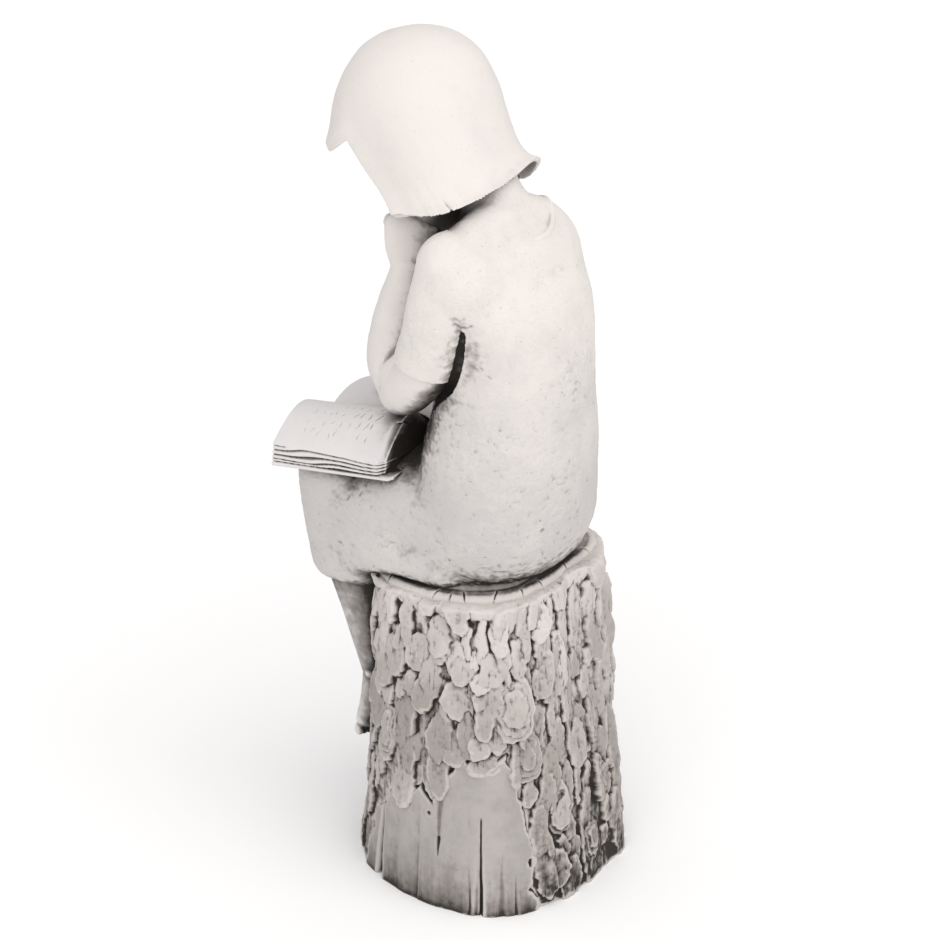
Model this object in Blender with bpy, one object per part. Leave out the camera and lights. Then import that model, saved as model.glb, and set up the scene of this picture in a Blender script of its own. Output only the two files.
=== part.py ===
# Garden statue: a girl reads on a tree stump, all one cast piece.
# Metres, +Z up. The girl faces -Y and her left side is +X. The origin is the middle of the flat underside.
import math

import bmesh
import bpy
import numpy as np
from mathutils import Matrix, Vector

TOTAL_HEIGHT = 0.800
SEAT_HEIGHT = 0.310
FIGURE_SHARES = 493.0  # the figure's forms are given in shares of its height above the seat
SHARE = (TOTAL_HEIGHT - SEAT_HEIGHT) / FIGURE_SHARES

FORM_VOXEL = 0.0026
FIGURE_TRIANGLES = 5500
HEAD_PLACE = Vector((0, -60, 415))
HEAD_PITCH = 38.5  # degrees that the face looks down
HEAD_ROLL = 3.0

STUMP_TOP_RADIUS = 0.107
STUMP_BASE_RADIUS = 0.126
RIM_SLOPE = 0.06  # the sawn top rises towards her right
BARK_DEPTH = 0.0075
BARK_SCALLOP = 0.007
BARK_WANDER = 0.009
BARK_COURSES = 7
BARK_PLATES_ROUND = 20
COLUMNS_PER_PLATE = 4


# Making closed forms

def link_form(name, bm):
    bmesh.ops.recalc_face_normals(bm, faces=bm.faces)
    mesh = bpy.data.meshes.new(name)
    bm.to_mesh(mesh)
    bm.free()
    form = bpy.data.objects.new(name, mesh)
    bpy.context.scene.collection.objects.link(form)
    return form


def curve_through(rows, steps):
    """A smooth curve through the rows, whatever their numbers mean."""
    rows = [np.array(row, float) for row in rows]
    padded = [2 * rows[0] - rows[1]] + rows + [2 * rows[-1] - rows[-2]]
    points = []
    for p0, p1, p2, p3 in zip(padded, padded[1:], padded[2:], padded[3:]):
        for step in range(steps):
            t = step / steps
            cubic = 3 * p1 - p0 - 3 * p2 + p3
            square = 2 * p0 - 5 * p1 + 4 * p2 - p3
            points.append(0.5 * (2 * p1 + (p2 - p0) * t + square * t ** 2 + cubic * t ** 3))
    points.append(rows[-1])
    return np.array(points)


def skin_rings(name, rings):
    """A closed mesh through rings of points, with a flat cap at each end."""
    bm = bmesh.new()
    loops = [[bm.verts.new(Vector(point)) for point in ring] for ring in rings]
    for low, high in zip(loops, loops[1:]):
        for i in range(len(low)):
            j = (i + 1) % len(low)
            bm.faces.new((low[i], low[j], high[j], high[i]))
    bm.faces.new(loops[0])
    bm.faces.new(loops[-1])
    return link_form(name, bm)


def on_seat(points):
    """Shares of the figure's height, from the middle of the seat, as metres."""
    return np.asarray(points, float) * SHARE + (0, 0, SEAT_HEIGHT)


def limb(rows, wide=(0, -1, 0.001), steps=4, sides=20, open_end=False, place=None):
    """A tube along a curve: rows of x, y, z, half-width and, where it isn't round, half-depth along wide."""
    path = curve_through([tuple(row) + (row[3],) if len(row) == 4 else row for row in rows], steps)
    centres, halves = path[:, :3], path[:, 3:]
    along = np.gradient(centres, axis=0)
    along /= np.linalg.norm(along, axis=1)[:, None]
    angles = np.linspace(0, 2 * math.pi, sides, endpoint=False)

    def ring(centre, direction, half_side, half_wide):
        depth = np.array(wide, float) - direction * np.dot(wide, direction)
        depth /= np.linalg.norm(depth)
        side = np.cross(direction, depth)
        return centre + np.outer(np.cos(angles) * half_side, side) + np.outer(np.sin(angles) * half_wide, depth)

    def round_end(index, sign):
        rings = []
        for step in (1, 2, 3, 4):
            angle = math.pi / 2 * step / 5
            centre = centres[index] + sign * along[index] * halves[index].mean() * math.cos(angle)
            rings.append(ring(centre, along[index], *(halves[index] * math.sin(angle))))
        return rings

    rings = round_end(0, -1) + [ring(*row) for row in zip(centres, along, halves[:, 0], halves[:, 1])]
    if not open_end:
        rings += reversed(round_end(-1, 1))
    if place is not None:
        rings = [points @ np.array(place)[:3, :3].T + np.array(place)[:3, 3] for points in rings]
    return skin_rings("limb", [on_seat(points) for points in rings])


def loft(sections, axis="z", steps=4, sides=40, place=None, shear=None):
    """Rows of place along the axis, two centres, two half-widths and squareness, skinned as one form."""
    rings = []
    angles = np.linspace(0, 2 * math.pi, sides, endpoint=False)
    for at, centre_a, centre_b, half_a, half_b, square in curve_through(sections, steps):
        a = centre_a + half_a * np.sign(np.cos(angles)) * np.abs(np.cos(angles)) ** (2 / square)
        b = centre_b + half_b * np.sign(np.sin(angles)) * np.abs(np.sin(angles)) ** (2 / square)
        level = np.full(sides, at)
        points = np.stack([a, b, level] if axis == "z" else [a, level, b], axis=1)
        if shear is not None:
            points = shear(points)
        if place is not None:
            points = points @ np.array(place)[:3, :3].T + np.array(place)[:3, 3]
        rings.append(on_seat(points))
    return skin_rings("loft", rings)


def ball(centre, halves, place=None):
    bm = bmesh.new()
    bmesh.ops.create_icosphere(bm, subdivisions=3, radius=1)
    matrix = Matrix.Translation(Vector(centre)) @ Matrix.Diagonal((*halves, 1))
    bmesh.ops.transform(bm, matrix=(place or Matrix()) @ matrix, verts=bm.verts)
    bmesh.ops.transform(bm, matrix=Matrix.Translation((0, 0, SEAT_HEIGHT)) @ Matrix.Scale(SHARE, 4), verts=bm.verts)
    return link_form("ball", bm)


def settle(form):
    """Turns the form with its modifiers into plain mesh."""
    graph = bpy.context.evaluated_depsgraph_get()
    mesh = bpy.data.meshes.new_from_object(form.evaluated_get(graph))
    form.modifiers.clear()
    form.data = mesh
    return form


def fuse(name, forms, voxel=FORM_VOXEL, smoothing=0):
    """One skin round all the forms, then a little smoothing where they meet."""
    bm = bmesh.new()
    for form in forms:
        bm.from_mesh(form.data)
        bpy.data.objects.remove(form)
    whole = link_form(name, bm)
    skin = whole.modifiers.new("skin", "REMESH")
    skin.mode = "VOXEL"
    skin.voxel_size = voxel
    if smoothing:
        soften = whole.modifiers.new("soften", "SMOOTH")
        soften.factor = 0.5
        soften.iterations = smoothing
    return settle(whole)


def cut(form, tool, operation="DIFFERENCE"):
    boolean = form.modifiers.new("cut", "BOOLEAN")
    boolean.operation = operation
    boolean.solver = "MANIFOLD"
    boolean.object = tool
    settle(form)
    bpy.data.objects.remove(tool)
    return form


# The head, in its own frame: +X her left, -Y the way she looks, +Z the crown

def head_frame():
    turn = Matrix.Rotation(math.radians(HEAD_ROLL), 4, "Y") @ Matrix.Rotation(math.radians(HEAD_PITCH), 4, "X")
    return Matrix.Translation(HEAD_PLACE) @ turn


def make_face(place):
    skull = loft([(-91, 0, -42, 10, 12, 2), (-86, 0, -38, 24, 26, 2), (-72, 0, -29, 41, 40, 2.1),
                  (-50, 0, -20, 54, 51, 2.2), (-28, 0, -12, 60, 59, 2.2), (-5, 0, -8, 62, 64, 2.2),
                  (22, 0, -8, 62, 67, 2.1), (45, 0, -9, 56, 60, 2), (66, 0, -10, 38, 42, 2),
                  (76, 0, -10, 14, 16, 2)], place=place)
    cheeks = [ball((side * 30, -47, -44), (22, 21, 20), place) for side in (1, -1)]
    chin = ball((0, -53, -78), (17, 16, 12), place)
    flesh = fuse("face", [skull, chin] + cheeks, smoothing=14)
    for side in (1, -1):
        cut(flesh, ball((side * 25, -82, -8), (18, 13, 11), place))
    features = [limb([(0, -66, -4, 4.5), (0, -72, -22, 6), (0, -77, -34, 8)], sides=14, place=place)]
    for side in (1, -1):
        features.append(ball((side * 24.5, -58, -11), (13, 12.5, 9.5), place))
        features.append(ball((side * 7.5, -70, -38), (5.5, 6, 4.8), place))
        features.append(limb([(side * 9, -70, 4, 3), (side * 24, -67, 8, 3.6), (side * 39, -57, 3, 3)], sides=12, place=place))
        features.append(ball((side * 5.5, -69.5, -55), (8.5, 5.5, 3.4), place))
    features.append(ball((0, -69, -61.5), (10, 5.5, 4.2), place))
    return fuse("face", [flesh] + features, smoothing=3)


def hem_line(points):
    """The bob's hem hangs lower behind than at the cheeks."""
    weight = np.clip(-points[:, 2] / 78, 0, 1)
    points[:, 2] -= weight * (20 * np.tanh(points[:, 1] / 40) - 1)
    return points


def make_hair(place):
    cap = loft([(-74, 0, -21, 75, 60, 2.15), (-66, 0, -21, 73, 56, 2.15), (-48, 0, -20, 71, 60, 2.15),
                (-25, 0, -18, 71, 66, 2.15), (0, 0, -14, 72, 73, 2.15), (30, 0, -12, 70, 74, 2.1),
                (56, 0, -11, 60, 62, 2.05), (75, 0, -11, 41, 41, 2), (86, 0, -11, 20, 16, 2),
                (88, 0, -11, 6, 5, 2)], place=place, steps=5, shear=hem_line)
    hollow = loft([(-120, 0, -21, 68, 54, 2.2), (-72, 0, -21, 66, 50, 2.2), (-56, 0, -20, 58, 46, 2.2),
                   (-44, 0, -20, 44, 36, 2.2)], place=place)
    cut(cap, hollow)
    outline = [(-100, -150), (100, -150), (100, 6), (62, 13), (36, 23), (0, 27), (-36, 23), (-62, 13), (-100, 6)]
    window = skin_rings("window", [on_seat([place @ Vector((x, y, z)) for x, z in outline]) for y in (-160, -41)])
    cut(cap, window)
    fringe = limb([(-61, -44, 14, 3.5), (-47, -68, 23, 5), (-25, -80, 28, 6), (0, -84, 30, 6.5), (25, -81, 29, 6.5),
                   (47, -69, 25, 6), (61, -44, 15, 3.5)], sides=14, place=place)
    return cut(cap, fringe, "UNION")


# The figure below the head

def make_dress():
    bodice = loft([(-8, 0, 5, 52, 42, 2.2), (2, 0, 6, 68, 56, 2.2), (20, 0, 10, 84, 70, 2.2),
                   (55, 0, 15, 92, 77, 2.2), (115, 0, 22, 88, 73, 2.2), (173, 0, 27, 81, 65, 2.2),
                   (225, -1, 28, 81, 60, 2.3), (265, -1, 25, 82, 55, 2.5), (300, 1, 16, 78, 46, 2.4),
                   (322, 4, 9, 58, 37, 2.2), (334, 3, 4, 38, 29, 2)])
    lap = loft([(60, 0, 45, 60, 38, 2.2), (20, 0, 46, 90, 50, 2.4), (-40, 0, 53, 95, 57, 2.6),
                (-86, 0, 39, 95, 66, 2.6), (-124, 0, 25, 91, 74, 2.8), (-148, 0, 17, 84, 74, 2.8),
                (-166, 0, 14, 74, 66, 2.6), (-178, 0, 14, 58, 50, 2.4), (-182, 0, 14, 44, 38, 2.2)], axis="y")
    between_knees = limb([(0, -198, 120, 12), (0, -197, 40, 17), (0, -190, -70, 16)])
    cut(lap, between_knees)
    shoulders = limb([(-70, 11, 286, 31), (-34, 11, 310, 27), (0, 9, 320, 26), (30, 8, 321, 28), (63, 6, 312, 32)])
    neck = limb([(0, 10, 318, 37), (0, 2, 345, 31), (0, -24, 382, 34)])
    return [bodice, lap, shoulders, neck]


def make_arms():
    chin_arm = limb([(66, 4, 308, 31), (77, -11, 262, 27), (79, -23, 212, 24), (63, -46, 177, 24), (46, -64, 161, 23)])
    forearm = limb([(46, -64, 160, 23), (40, -70, 190, 26), (35, -69, 235, 22), (33, -66, 284, 15)])
    sleeve = limb([(65, 5, 310, 33), (74, -4, 276, 32), (79, -13, 243, 30), (82, -25, 212, 29)], open_end=True)
    resting_arm = limb([(-70, 11, 286, 31), (-84, 0, 240, 29), (-93, -22, 180, 24), (-88, -42, 161, 22),
                        (-74, -76, 147, 18), (-60, -104, 142, 13)])
    other_sleeve = limb([(-69, 11, 285, 33), (-81, 4, 250, 36), (-90, -14, 208, 33)], open_end=True)
    return [chin_arm, forearm, sleeve, resting_arm, other_sleeve]


def make_hands():
    across = np.array((-0.574, 0.819, 0.0))
    palm = limb([(33, -66, 280, 13, 16), (33, -65, 300, 12, 22), (31, -65, 318, 12, 24)], wide=across)
    forms = [palm]
    for step, reach in zip((-18, -6, 6, 18), (24, 28, 26, 20)):
        knuckle = np.array((27, -68, 322)) + across * step
        tip = knuckle + np.array((-0.82, -0.57, -0.52)) * reach
        forms.append(limb([(*knuckle, 6.8), (*((knuckle + tip) / 2 + (0, 0, 3)), 6.6), (*tip, 5.6)], sides=12))
    forms.append(limb([(26, -58, 296, 7), (14, -54, 303, 6.5), (2, -56, 306, 6)], sides=12))
    forms.append(limb([(-60, -102, 142, 14, 9), (-53, -118, 139, 18, 7), (-50, -130, 136, 18, 6.5)], wide=(0, 0, 1)))
    for step, reach in zip((-14, -5, 5, 14), (16, 21, 22, 18)):
        start = np.array((-50 + step, -131, 135))
        forms.append(limb([(*start, 6), (*(start + (step * 0.1 + 2, -reach, -4)), 4.8)], sides=12))
    forms.append(limb([(-44, -112, 139, 6.5), (-30, -122, 137, 5.6), (-24, -133, 134, 4.8)], sides=12))
    return forms


def make_legs():
    forms = []
    for side, lean in ((1, 0), (-1, 6)):
        knee = np.array((side * 43, -126, 30))
        ankle = np.array((side * 29 + lean / 2, -103 - lean, -132))
        calf = (knee + ankle) / 2 + (0, 6, 8)
        forms.append(limb([(*knee, 35), (*calf, 31), (*ankle, 17)]))
        ball_of_foot = ankle + (side * 1, -13, -58)
        forms.append(limb([(*(ankle + (0, 4, 2)), 16, 18), (*(ankle + (0, -1, -32)), 18, 16),
                           (*ball_of_foot, 20, 11)], wide=(0, -1, 0.3)))
        for toe, size in zip(range(5), (7, 5.6, 5.4, 5, 4.6)):
            place = ball_of_foot + (side * (14 - toe * 7.2) * -1, -4, -16 + abs(toe - 1) * 1.2)
            forms.append(ball(place, (size, size, size * 1.5)))
    return forms


def make_book():
    """An open book, its two page blocks arched from the fore-edges to the spine."""
    rows = []
    columns = 14
    for step in range(9):
        back = step / 8  # 0 at the knees, 1 at the belly
        bottom = 84 + 12 * back
        edge = 21 - 6 * back

        def page(side, arch):
            points = []
            for column in range(columns + 1):
                inward = column / columns
                swell_up = math.sin(math.pi * inward) ** 0.8 * (0.75 + 0.5 * inward) if 0 < inward < 1 else 0
                points.append((side * (94 - 92 * inward), bottom + edge + arch * swell_up - 6 * inward))
            return points

        outline = page(1, 23 + 10 * back) + page(-1, 12 + 15 * back)[::-1]
        rows.append([(x, -178 + 120 * back, z) for x, z in outline + [(-94, bottom), (94, bottom)]])
    turn = Matrix.Translation((-12, 0, 0)) @ Matrix.Rotation(math.radians(6), 4, "Z")
    return skin_rings("book", [on_seat([turn @ Vector(point) for point in row]) for row in rows])


def make_figure():
    place = head_frame()
    body = fuse("body", make_dress() + make_legs(), smoothing=6)
    figure = fuse("figure", [body, make_face(place), make_hair(place), make_book()] + make_arms() + make_hands(),
                  smoothing=2)
    thin = figure.modifiers.new("thin", "DECIMATE")
    thin.ratio = FIGURE_TRIANGLES / sum(len(face.vertices) - 2 for face in figure.data.polygons)
    return settle(figure)


# The stump, as rings of points from the underside up, and then in across the sawn top

def swell(angle, height):
    """How far the trunk leaves a plain taper, as a share of its radius, at an angle in degrees."""
    up = height / SEAT_HEIGHT
    lobes = ((38, 0.07, 18), (94, -0.07 - 0.08 * up, 28), (142, 0.08, 24), (-12, -0.03, 24),
             (200, 0.03, 22), (245, -0.04, 24), (272, -0.06 * up, 30), (315, 0.02, 18))
    total = 0.0
    for place, amount, width in lobes:
        away = (angle - place + 180) % 360 - 180
        total += amount * math.exp(-(away / width) ** 2)
    return total


def across_plates(column, course):
    """Counts plates round a course, each course half a plate further on than the one below."""
    return (column + (COLUMNS_PER_PLATE / 2 if course % 2 else 0)) / COLUMNS_PER_PLATE


def bark(column, course, share_up):
    """Plates that stand out more towards their lower edges."""
    across = across_plates(column, course)
    side = 2 * (across - math.floor(across)) - 1
    plate = math.floor(across) % BARK_PLATES_ROUND
    length = 0.75 + 0.25 * math.sin(2.6 * plate + 1.7 * course)
    return BARK_DEPTH * length * (1 - share_up) ** 0.7 * (1 - 0.8 * abs(side) ** 2.5)


def edge_shift(column, course):
    """Plates hang lowest in their middles, and a course wanders up and down on its way round."""
    across = across_plates(column, course)
    uneven = 0.4 + 0.6 * math.sin(1.9 * math.floor(across) + 2.3 * course) ** 2
    way_round = 2 * math.pi * column / (BARK_PLATES_ROUND * COLUMNS_PER_PLATE)
    wander = math.sin(3 * way_round + 0.4 * course) + 0.6 * math.sin(7 * way_round + 1.0)
    return BARK_SCALLOP * uneven * math.cos(2 * math.pi * across) + BARK_WANDER * wander


def bare_wood(angle, height):
    """1 where the bark has gone near the ground, 0 where it stays."""
    amount = 0.0
    for place, width, top in ((33, 24, 0.135), (-12, 24, 0.085), (225, 26, 0.11)):
        away = abs((angle - place + 180) % 360 - 180)
        edge = top * (1 - (away / width) ** 2) if away < width else 0.0
        amount = max(amount, min(1.0, max(0.0, (edge - height) / 0.012)))
    return amount


def make_stump():
    rings = []
    columns = BARK_PLATES_ROUND * COLUMNS_PER_PLATE
    levels = [(course, share_up) for course in range(BARK_COURSES) for share_up in (0.0, 0.45, 0.93)]
    for course, share_up in levels + [(BARK_COURSES, 0.0)]:
        up = (course + share_up) / BARK_COURSES
        taper = STUMP_TOP_RADIUS + (STUMP_BASE_RADIUS - STUMP_TOP_RADIUS) * (1 - up) ** 1.4
        fade = min(1.0, (1 - up) * 8 + 0.1, up * 10 + 0.3)
        points = []
        for column in range(columns):
            angle = 360 * column / columns
            wave = edge_shift(column, course) * (1 - share_up) + edge_shift(column, course + 1) * share_up
            height = SEAT_HEIGHT * up + wave * min(1.0, 6 * up, 6 * (1 - up))
            skin = bark(column, course, share_up) * (1 - bare_wood(angle, height)) - BARK_DEPTH * 0.6
            radius = taper * (1 + swell(angle, height)) + skin * fade
            x = radius * math.cos(math.radians(angle))
            y = radius * math.sin(math.radians(angle))
            points.append((x, y, height - RIM_SLOPE * x * up ** 3))
        rings.append(points)
    rim = rings[-1]
    for share, drop in ((0.955, -0.0015), (0.90, 0.001), (0.55, 0.001)):
        rings.append([(x * share, y * share, SEAT_HEIGHT - RIM_SLOPE * x * share - drop) for x, y, z in rim])
    return skin_rings("stump", rings)


def weathered_stone():
    material = bpy.data.materials.new("weathered_cast_stone")
    material.use_nodes = True
    shader = material.node_tree.nodes["Principled BSDF"]
    shader.inputs["Base Color"].default_value = (0.66, 0.62, 0.58, 1)
    shader.inputs["Roughness"].default_value = 0.9
    return material


for left_over in list(bpy.data.objects):
    bpy.data.objects.remove(left_over)

statue = cut(make_stump(), make_figure(), "UNION")
statue.name = "girl_on_stump"
statue.data.name = "girl_on_stump"
statue.data.materials.clear()
statue.data.materials.append(weathered_stone())
statue.data.polygons.foreach_set("use_smooth", [True] * len(statue.data.polygons))
statue.data.polygons.foreach_set("material_index", [0] * len(statue.data.polygons))
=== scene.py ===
import math

import bmesh
import bpy
import numpy as np
from mathutils import Matrix, Vector
from mathutils.bvhtree import BVHTree


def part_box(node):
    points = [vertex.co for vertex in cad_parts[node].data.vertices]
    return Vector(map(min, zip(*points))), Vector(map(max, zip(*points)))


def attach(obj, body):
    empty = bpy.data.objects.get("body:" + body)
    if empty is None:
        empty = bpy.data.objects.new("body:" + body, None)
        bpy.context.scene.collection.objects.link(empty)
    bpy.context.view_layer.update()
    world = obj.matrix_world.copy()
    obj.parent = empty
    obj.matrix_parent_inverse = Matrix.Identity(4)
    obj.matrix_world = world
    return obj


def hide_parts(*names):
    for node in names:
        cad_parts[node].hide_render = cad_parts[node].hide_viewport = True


# Garden statue of a girl who reads on a tree stump, cast in pale stone and weathered.
# Metres, +Z up. The girl faces -Y and her left side is +X. Her forms are given in shares of her
# height above the seat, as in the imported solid; the stump is in metres.

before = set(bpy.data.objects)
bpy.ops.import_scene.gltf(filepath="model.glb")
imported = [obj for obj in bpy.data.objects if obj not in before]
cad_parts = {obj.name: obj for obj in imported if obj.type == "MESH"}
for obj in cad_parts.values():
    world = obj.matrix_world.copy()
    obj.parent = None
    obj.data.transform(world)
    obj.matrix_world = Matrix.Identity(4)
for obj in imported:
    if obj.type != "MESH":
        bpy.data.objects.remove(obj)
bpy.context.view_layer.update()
solidName = "girl_on_stump"
solidLow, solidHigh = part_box(solidName)

statue = {
    "seatHeight": 0.310,
    "crownShares": 492.6,   # crown above the seat
    "bodyVoxel": 0.0026,    # first, soft stage of the body
    "relaxStep": 0.6,
    "budget": {"head": 150000, "limbs": 110000, "dress": 190000, "book": 95000, "bark": 195000,
               "wood": 120000},     # most triangles of each piece
}
share = (solidHigh.z - statue["seatHeight"]) / statue["crownShares"]
print(f"frame loaded, one share is {share * 1000:.4f} mm")


# Tools for objects, nodes, noise and points

def linkObject(name, data):
    made = bpy.data.objects.new(name, data)
    bpy.context.scene.collection.objects.link(made)
    return made


# A node with its settings, whose inputs are given as values or as other nodes' outputs.
def addNode(tree, kind, inputs=(), **settings):
    node = tree.nodes.new(kind)
    for name, value in settings.items():
        setattr(node, name, value)
    for socket, source in dict(inputs).items():
        if isinstance(source, bpy.types.NodeSocket):
            tree.links.new(source, node.inputs[socket])
        else:
            node.inputs[socket].default_value = source
    return node


noiseTable = np.random.default_rng(11).random((64, 64, 64)) * 2 - 1


# The grid's values at eight corners of each cell, blended by where in the cell a point lies.
def blendCorners(grid, cell, part, wrap=-1):
    total = np.zeros(len(cell))
    for corner in range(8):
        step = np.array((corner & 1, corner >> 1 & 1, corner >> 2))
        x, y, z = ((cell + step) & wrap).T
        total += np.prod(np.where(step, part, 1 - part), axis=1) * grid[x, y, z]
    return total


# Smooth repeatable noise from -1 to 1, with lumps of the given size along each axis.
def noiseAt(points, size, seed=0):
    scaled = points / np.asarray(size, float) + seed * 13.37
    cell = np.floor(scaled).astype(np.int64)
    part = scaled - cell
    part = part * part * (3 - 2 * part)
    return blendCorners(noiseTable, cell, part, 63)


def layeredNoise(points, size, seed=0, layers=3):
    size = np.asarray(size, float)
    return sum(noiseAt(points, size / 2 ** layer, seed + layer) / 2 ** layer for layer in range(layers))


def stepBetween(values, low, high):
    t = np.clip((values - low) / (high - low), 0, 1)
    return t * t * (3 - 2 * t)


def readPoints(piece, what="co"):
    flat = np.empty(len(piece.data.vertices) * 3)
    piece.data.vertices.foreach_get(what, flat)
    return flat.reshape(-1, 3)


def readNormals(piece):
    return readPoints(piece, "normal")


def writePoints(piece, points):
    piece.data.vertices.foreach_set("co", np.ascontiguousarray(points).ravel())
    piece.data.update()


def writeShade(piece, name, values):
    shade = piece.data.attributes.new(name, "FLOAT", "POINT")
    shade.data.foreach_set("value", np.ascontiguousarray(values, dtype=np.float32))


def pushOut(piece, points, normals, shift):
    writePoints(piece, points + normals * shift[:, None])


# Points carried over by a 4 x 4 matrix.
def carried(points, matrix):
    matrix = np.array(matrix)
    return points @ matrix[:3, :3].T + matrix[:3, 3]


# The same curve on both sides of zero.
def signedPower(values, power):
    return np.sign(values) * np.abs(values) ** power


# Degrees from a place to an angle, from -180 to 180.
def offAngle(angle, place=0):
    return (angle - place + 180) % 360 - 180


# Points round the statue's axis, angles in degrees.
def onCylinder(angle, radius, height):
    turn = np.radians(angle)
    return np.stack(np.broadcast_arrays(np.cos(turn) * radius, np.sin(turn) * radius, height), axis=-1)


# Distance of each point from the line through the given stops, and how far along it lies, 0 to 1.
def distanceToLine(points, stops):
    stops = np.asarray(stops, float)
    best = np.full(len(points), 1e9)
    along = np.zeros(len(points))
    pieces = len(stops) - 1
    for index, (start, end) in enumerate(zip(stops, stops[1:])):
        run = end - start
        t = np.clip((points - start) @ run / (run @ run), 0, 1)
        away = np.linalg.norm(points - start - t[:, None] * run, axis=1)
        closer = away < best
        best[closer] = away[closer]
        along[closer] = (index + t[closer]) / pieces
    return best, along


# Camera, floor and light

view = {
    "place": (2.248, 1.574, 1.649),
    "yaw": -144.616,        # degrees, as the pitch
    "pitch": -24.529,
    "focalPixels": 3322,
    "framePixels": 940,
    "sensor": 36.0,
    "floorSize": 60.0,
    "floorColour": (0.97, 0.97, 0.97, 1),
    "floorRoughness": 0.9,
    "skyColour": (1.0, 0.995, 1.0, 1),
    "skyStrength": 0.70,
    "keyFrom": (1.15, 1.55, 2.2),
    "keyStrength": 1.7,
    "keySpread": 80.0,      # degrees across, for soft shadows
    "keyColour": (1.0, 0.98, 0.96),
}


def setCamera():
    yaw, pitch = math.radians(view["yaw"]), math.radians(view["pitch"])
    level = math.cos(pitch)
    look = Vector((level * math.cos(yaw), level * math.sin(yaw), math.sin(pitch)))
    data = bpy.data.cameras.new("photoView")
    data.sensor_width = view["sensor"]
    data.lens = view["sensor"] * view["focalPixels"] / view["framePixels"]
    camera = linkObject("photoView", data)
    camera.location = view["place"]
    camera.rotation_euler = look.to_track_quat("-Z", "Y").to_euler()
    bpy.context.scene.camera = camera


def setStudio():
    world = bpy.data.worlds.new("softRoom")
    world.use_nodes = True
    background = world.node_tree.nodes["Background"]
    background.inputs["Color"].default_value = view["skyColour"]
    background.inputs["Strength"].default_value = view["skyStrength"]
    bpy.context.scene.world = world
    bpy.context.scene.view_settings.view_transform = "Standard"
    lamp = bpy.data.lights.new("keyLight", "SUN")
    lamp.energy = view["keyStrength"]
    lamp.angle = math.radians(view["keySpread"])
    lamp.color = view["keyColour"]
    light = linkObject("keyLight", lamp)
    light.location = view["keyFrom"]
    light.rotation_euler = (-Vector(view["keyFrom"])).to_track_quat("-Z", "Y").to_euler()
    half = view["floorSize"] / 2
    mesh = bpy.data.meshes.new("studioFloor")
    corners = [(-half, -half, 0), (half, -half, 0), (half, half, 0), (-half, half, 0)]
    mesh.from_pydata(corners, [], [(0, 1, 2, 3)])
    floor = linkObject("studioFloor", mesh)
    paint = bpy.data.materials.new("studioPaint")
    paint.use_nodes = True
    shader = paint.node_tree.nodes["Principled BSDF"]
    shader.inputs["Base Color"].default_value = view["floorColour"]
    shader.inputs["Roughness"].default_value = view["floorRoughness"]
    mesh.materials.append(paint)


setCamera()
setStudio()
print("camera, floor and light set")


# Making closed forms

def linkForm(name, bm):
    bmesh.ops.recalc_face_normals(bm, faces=bm.faces)
    mesh = bpy.data.meshes.new(name)
    bm.to_mesh(mesh)
    bm.free()
    return linkObject(name, mesh)


# A smooth curve through the rows, whatever their numbers mean.
def curveThrough(rows, steps):
    rows = [np.array(row, float) for row in rows]
    padded = [2 * rows[0] - rows[1]] + rows + [2 * rows[-1] - rows[-2]]
    points = []
    for before, start, end, after in zip(padded, padded[1:], padded[2:], padded[3:]):
        for step in range(steps):
            t = step / steps
            cubic = 3 * start - before - 3 * end + after
            square = 2 * before - 5 * start + 4 * end - after
            points.append(0.5 * (2 * start + (end - before) * t + square * t ** 2 + cubic * t ** 3))
    points.append(rows[-1])
    return np.array(points)


# A closed mesh through rings of points, with a flat cap at each end.
def skinRings(name, rings):
    bm = bmesh.new()
    loops = [[bm.verts.new(Vector(point)) for point in ring] for ring in rings]
    for low, high in zip(loops, loops[1:]):
        for i in range(len(low)):
            j = (i + 1) % len(low)
            bm.faces.new((low[i], low[j], high[j], high[i]))
    bm.faces.new(loops[0])
    bm.faces.new(loops[-1])
    return linkForm(name, bm)


# A closed shell through rings of points, whose last ring joins the first.
def linkRings(name, rings):
    count, sides = len(rings), len(rings[0])
    index = np.arange(count * sides).reshape(count, sides)
    after, above = np.roll(index, -1, 1), np.roll(index, -1, 0)
    faces = np.stack([index, after, np.roll(after, -1, 0), above], axis=-1).reshape(-1, 4)
    mesh = bpy.data.meshes.new(name)
    mesh.from_pydata(np.concatenate(rings).tolist(), [], faces.tolist())
    return linkObject(name, mesh)


# Shares of the figure's height, from the middle of the seat, as metres.
def onSeat(points):
    return np.asarray(points, float) * share + (0, 0, statue["seatHeight"])


def seatMatrix():
    return Matrix.Translation((0, 0, statue["seatHeight"])) @ Matrix.Scale(share, 4)


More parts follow.
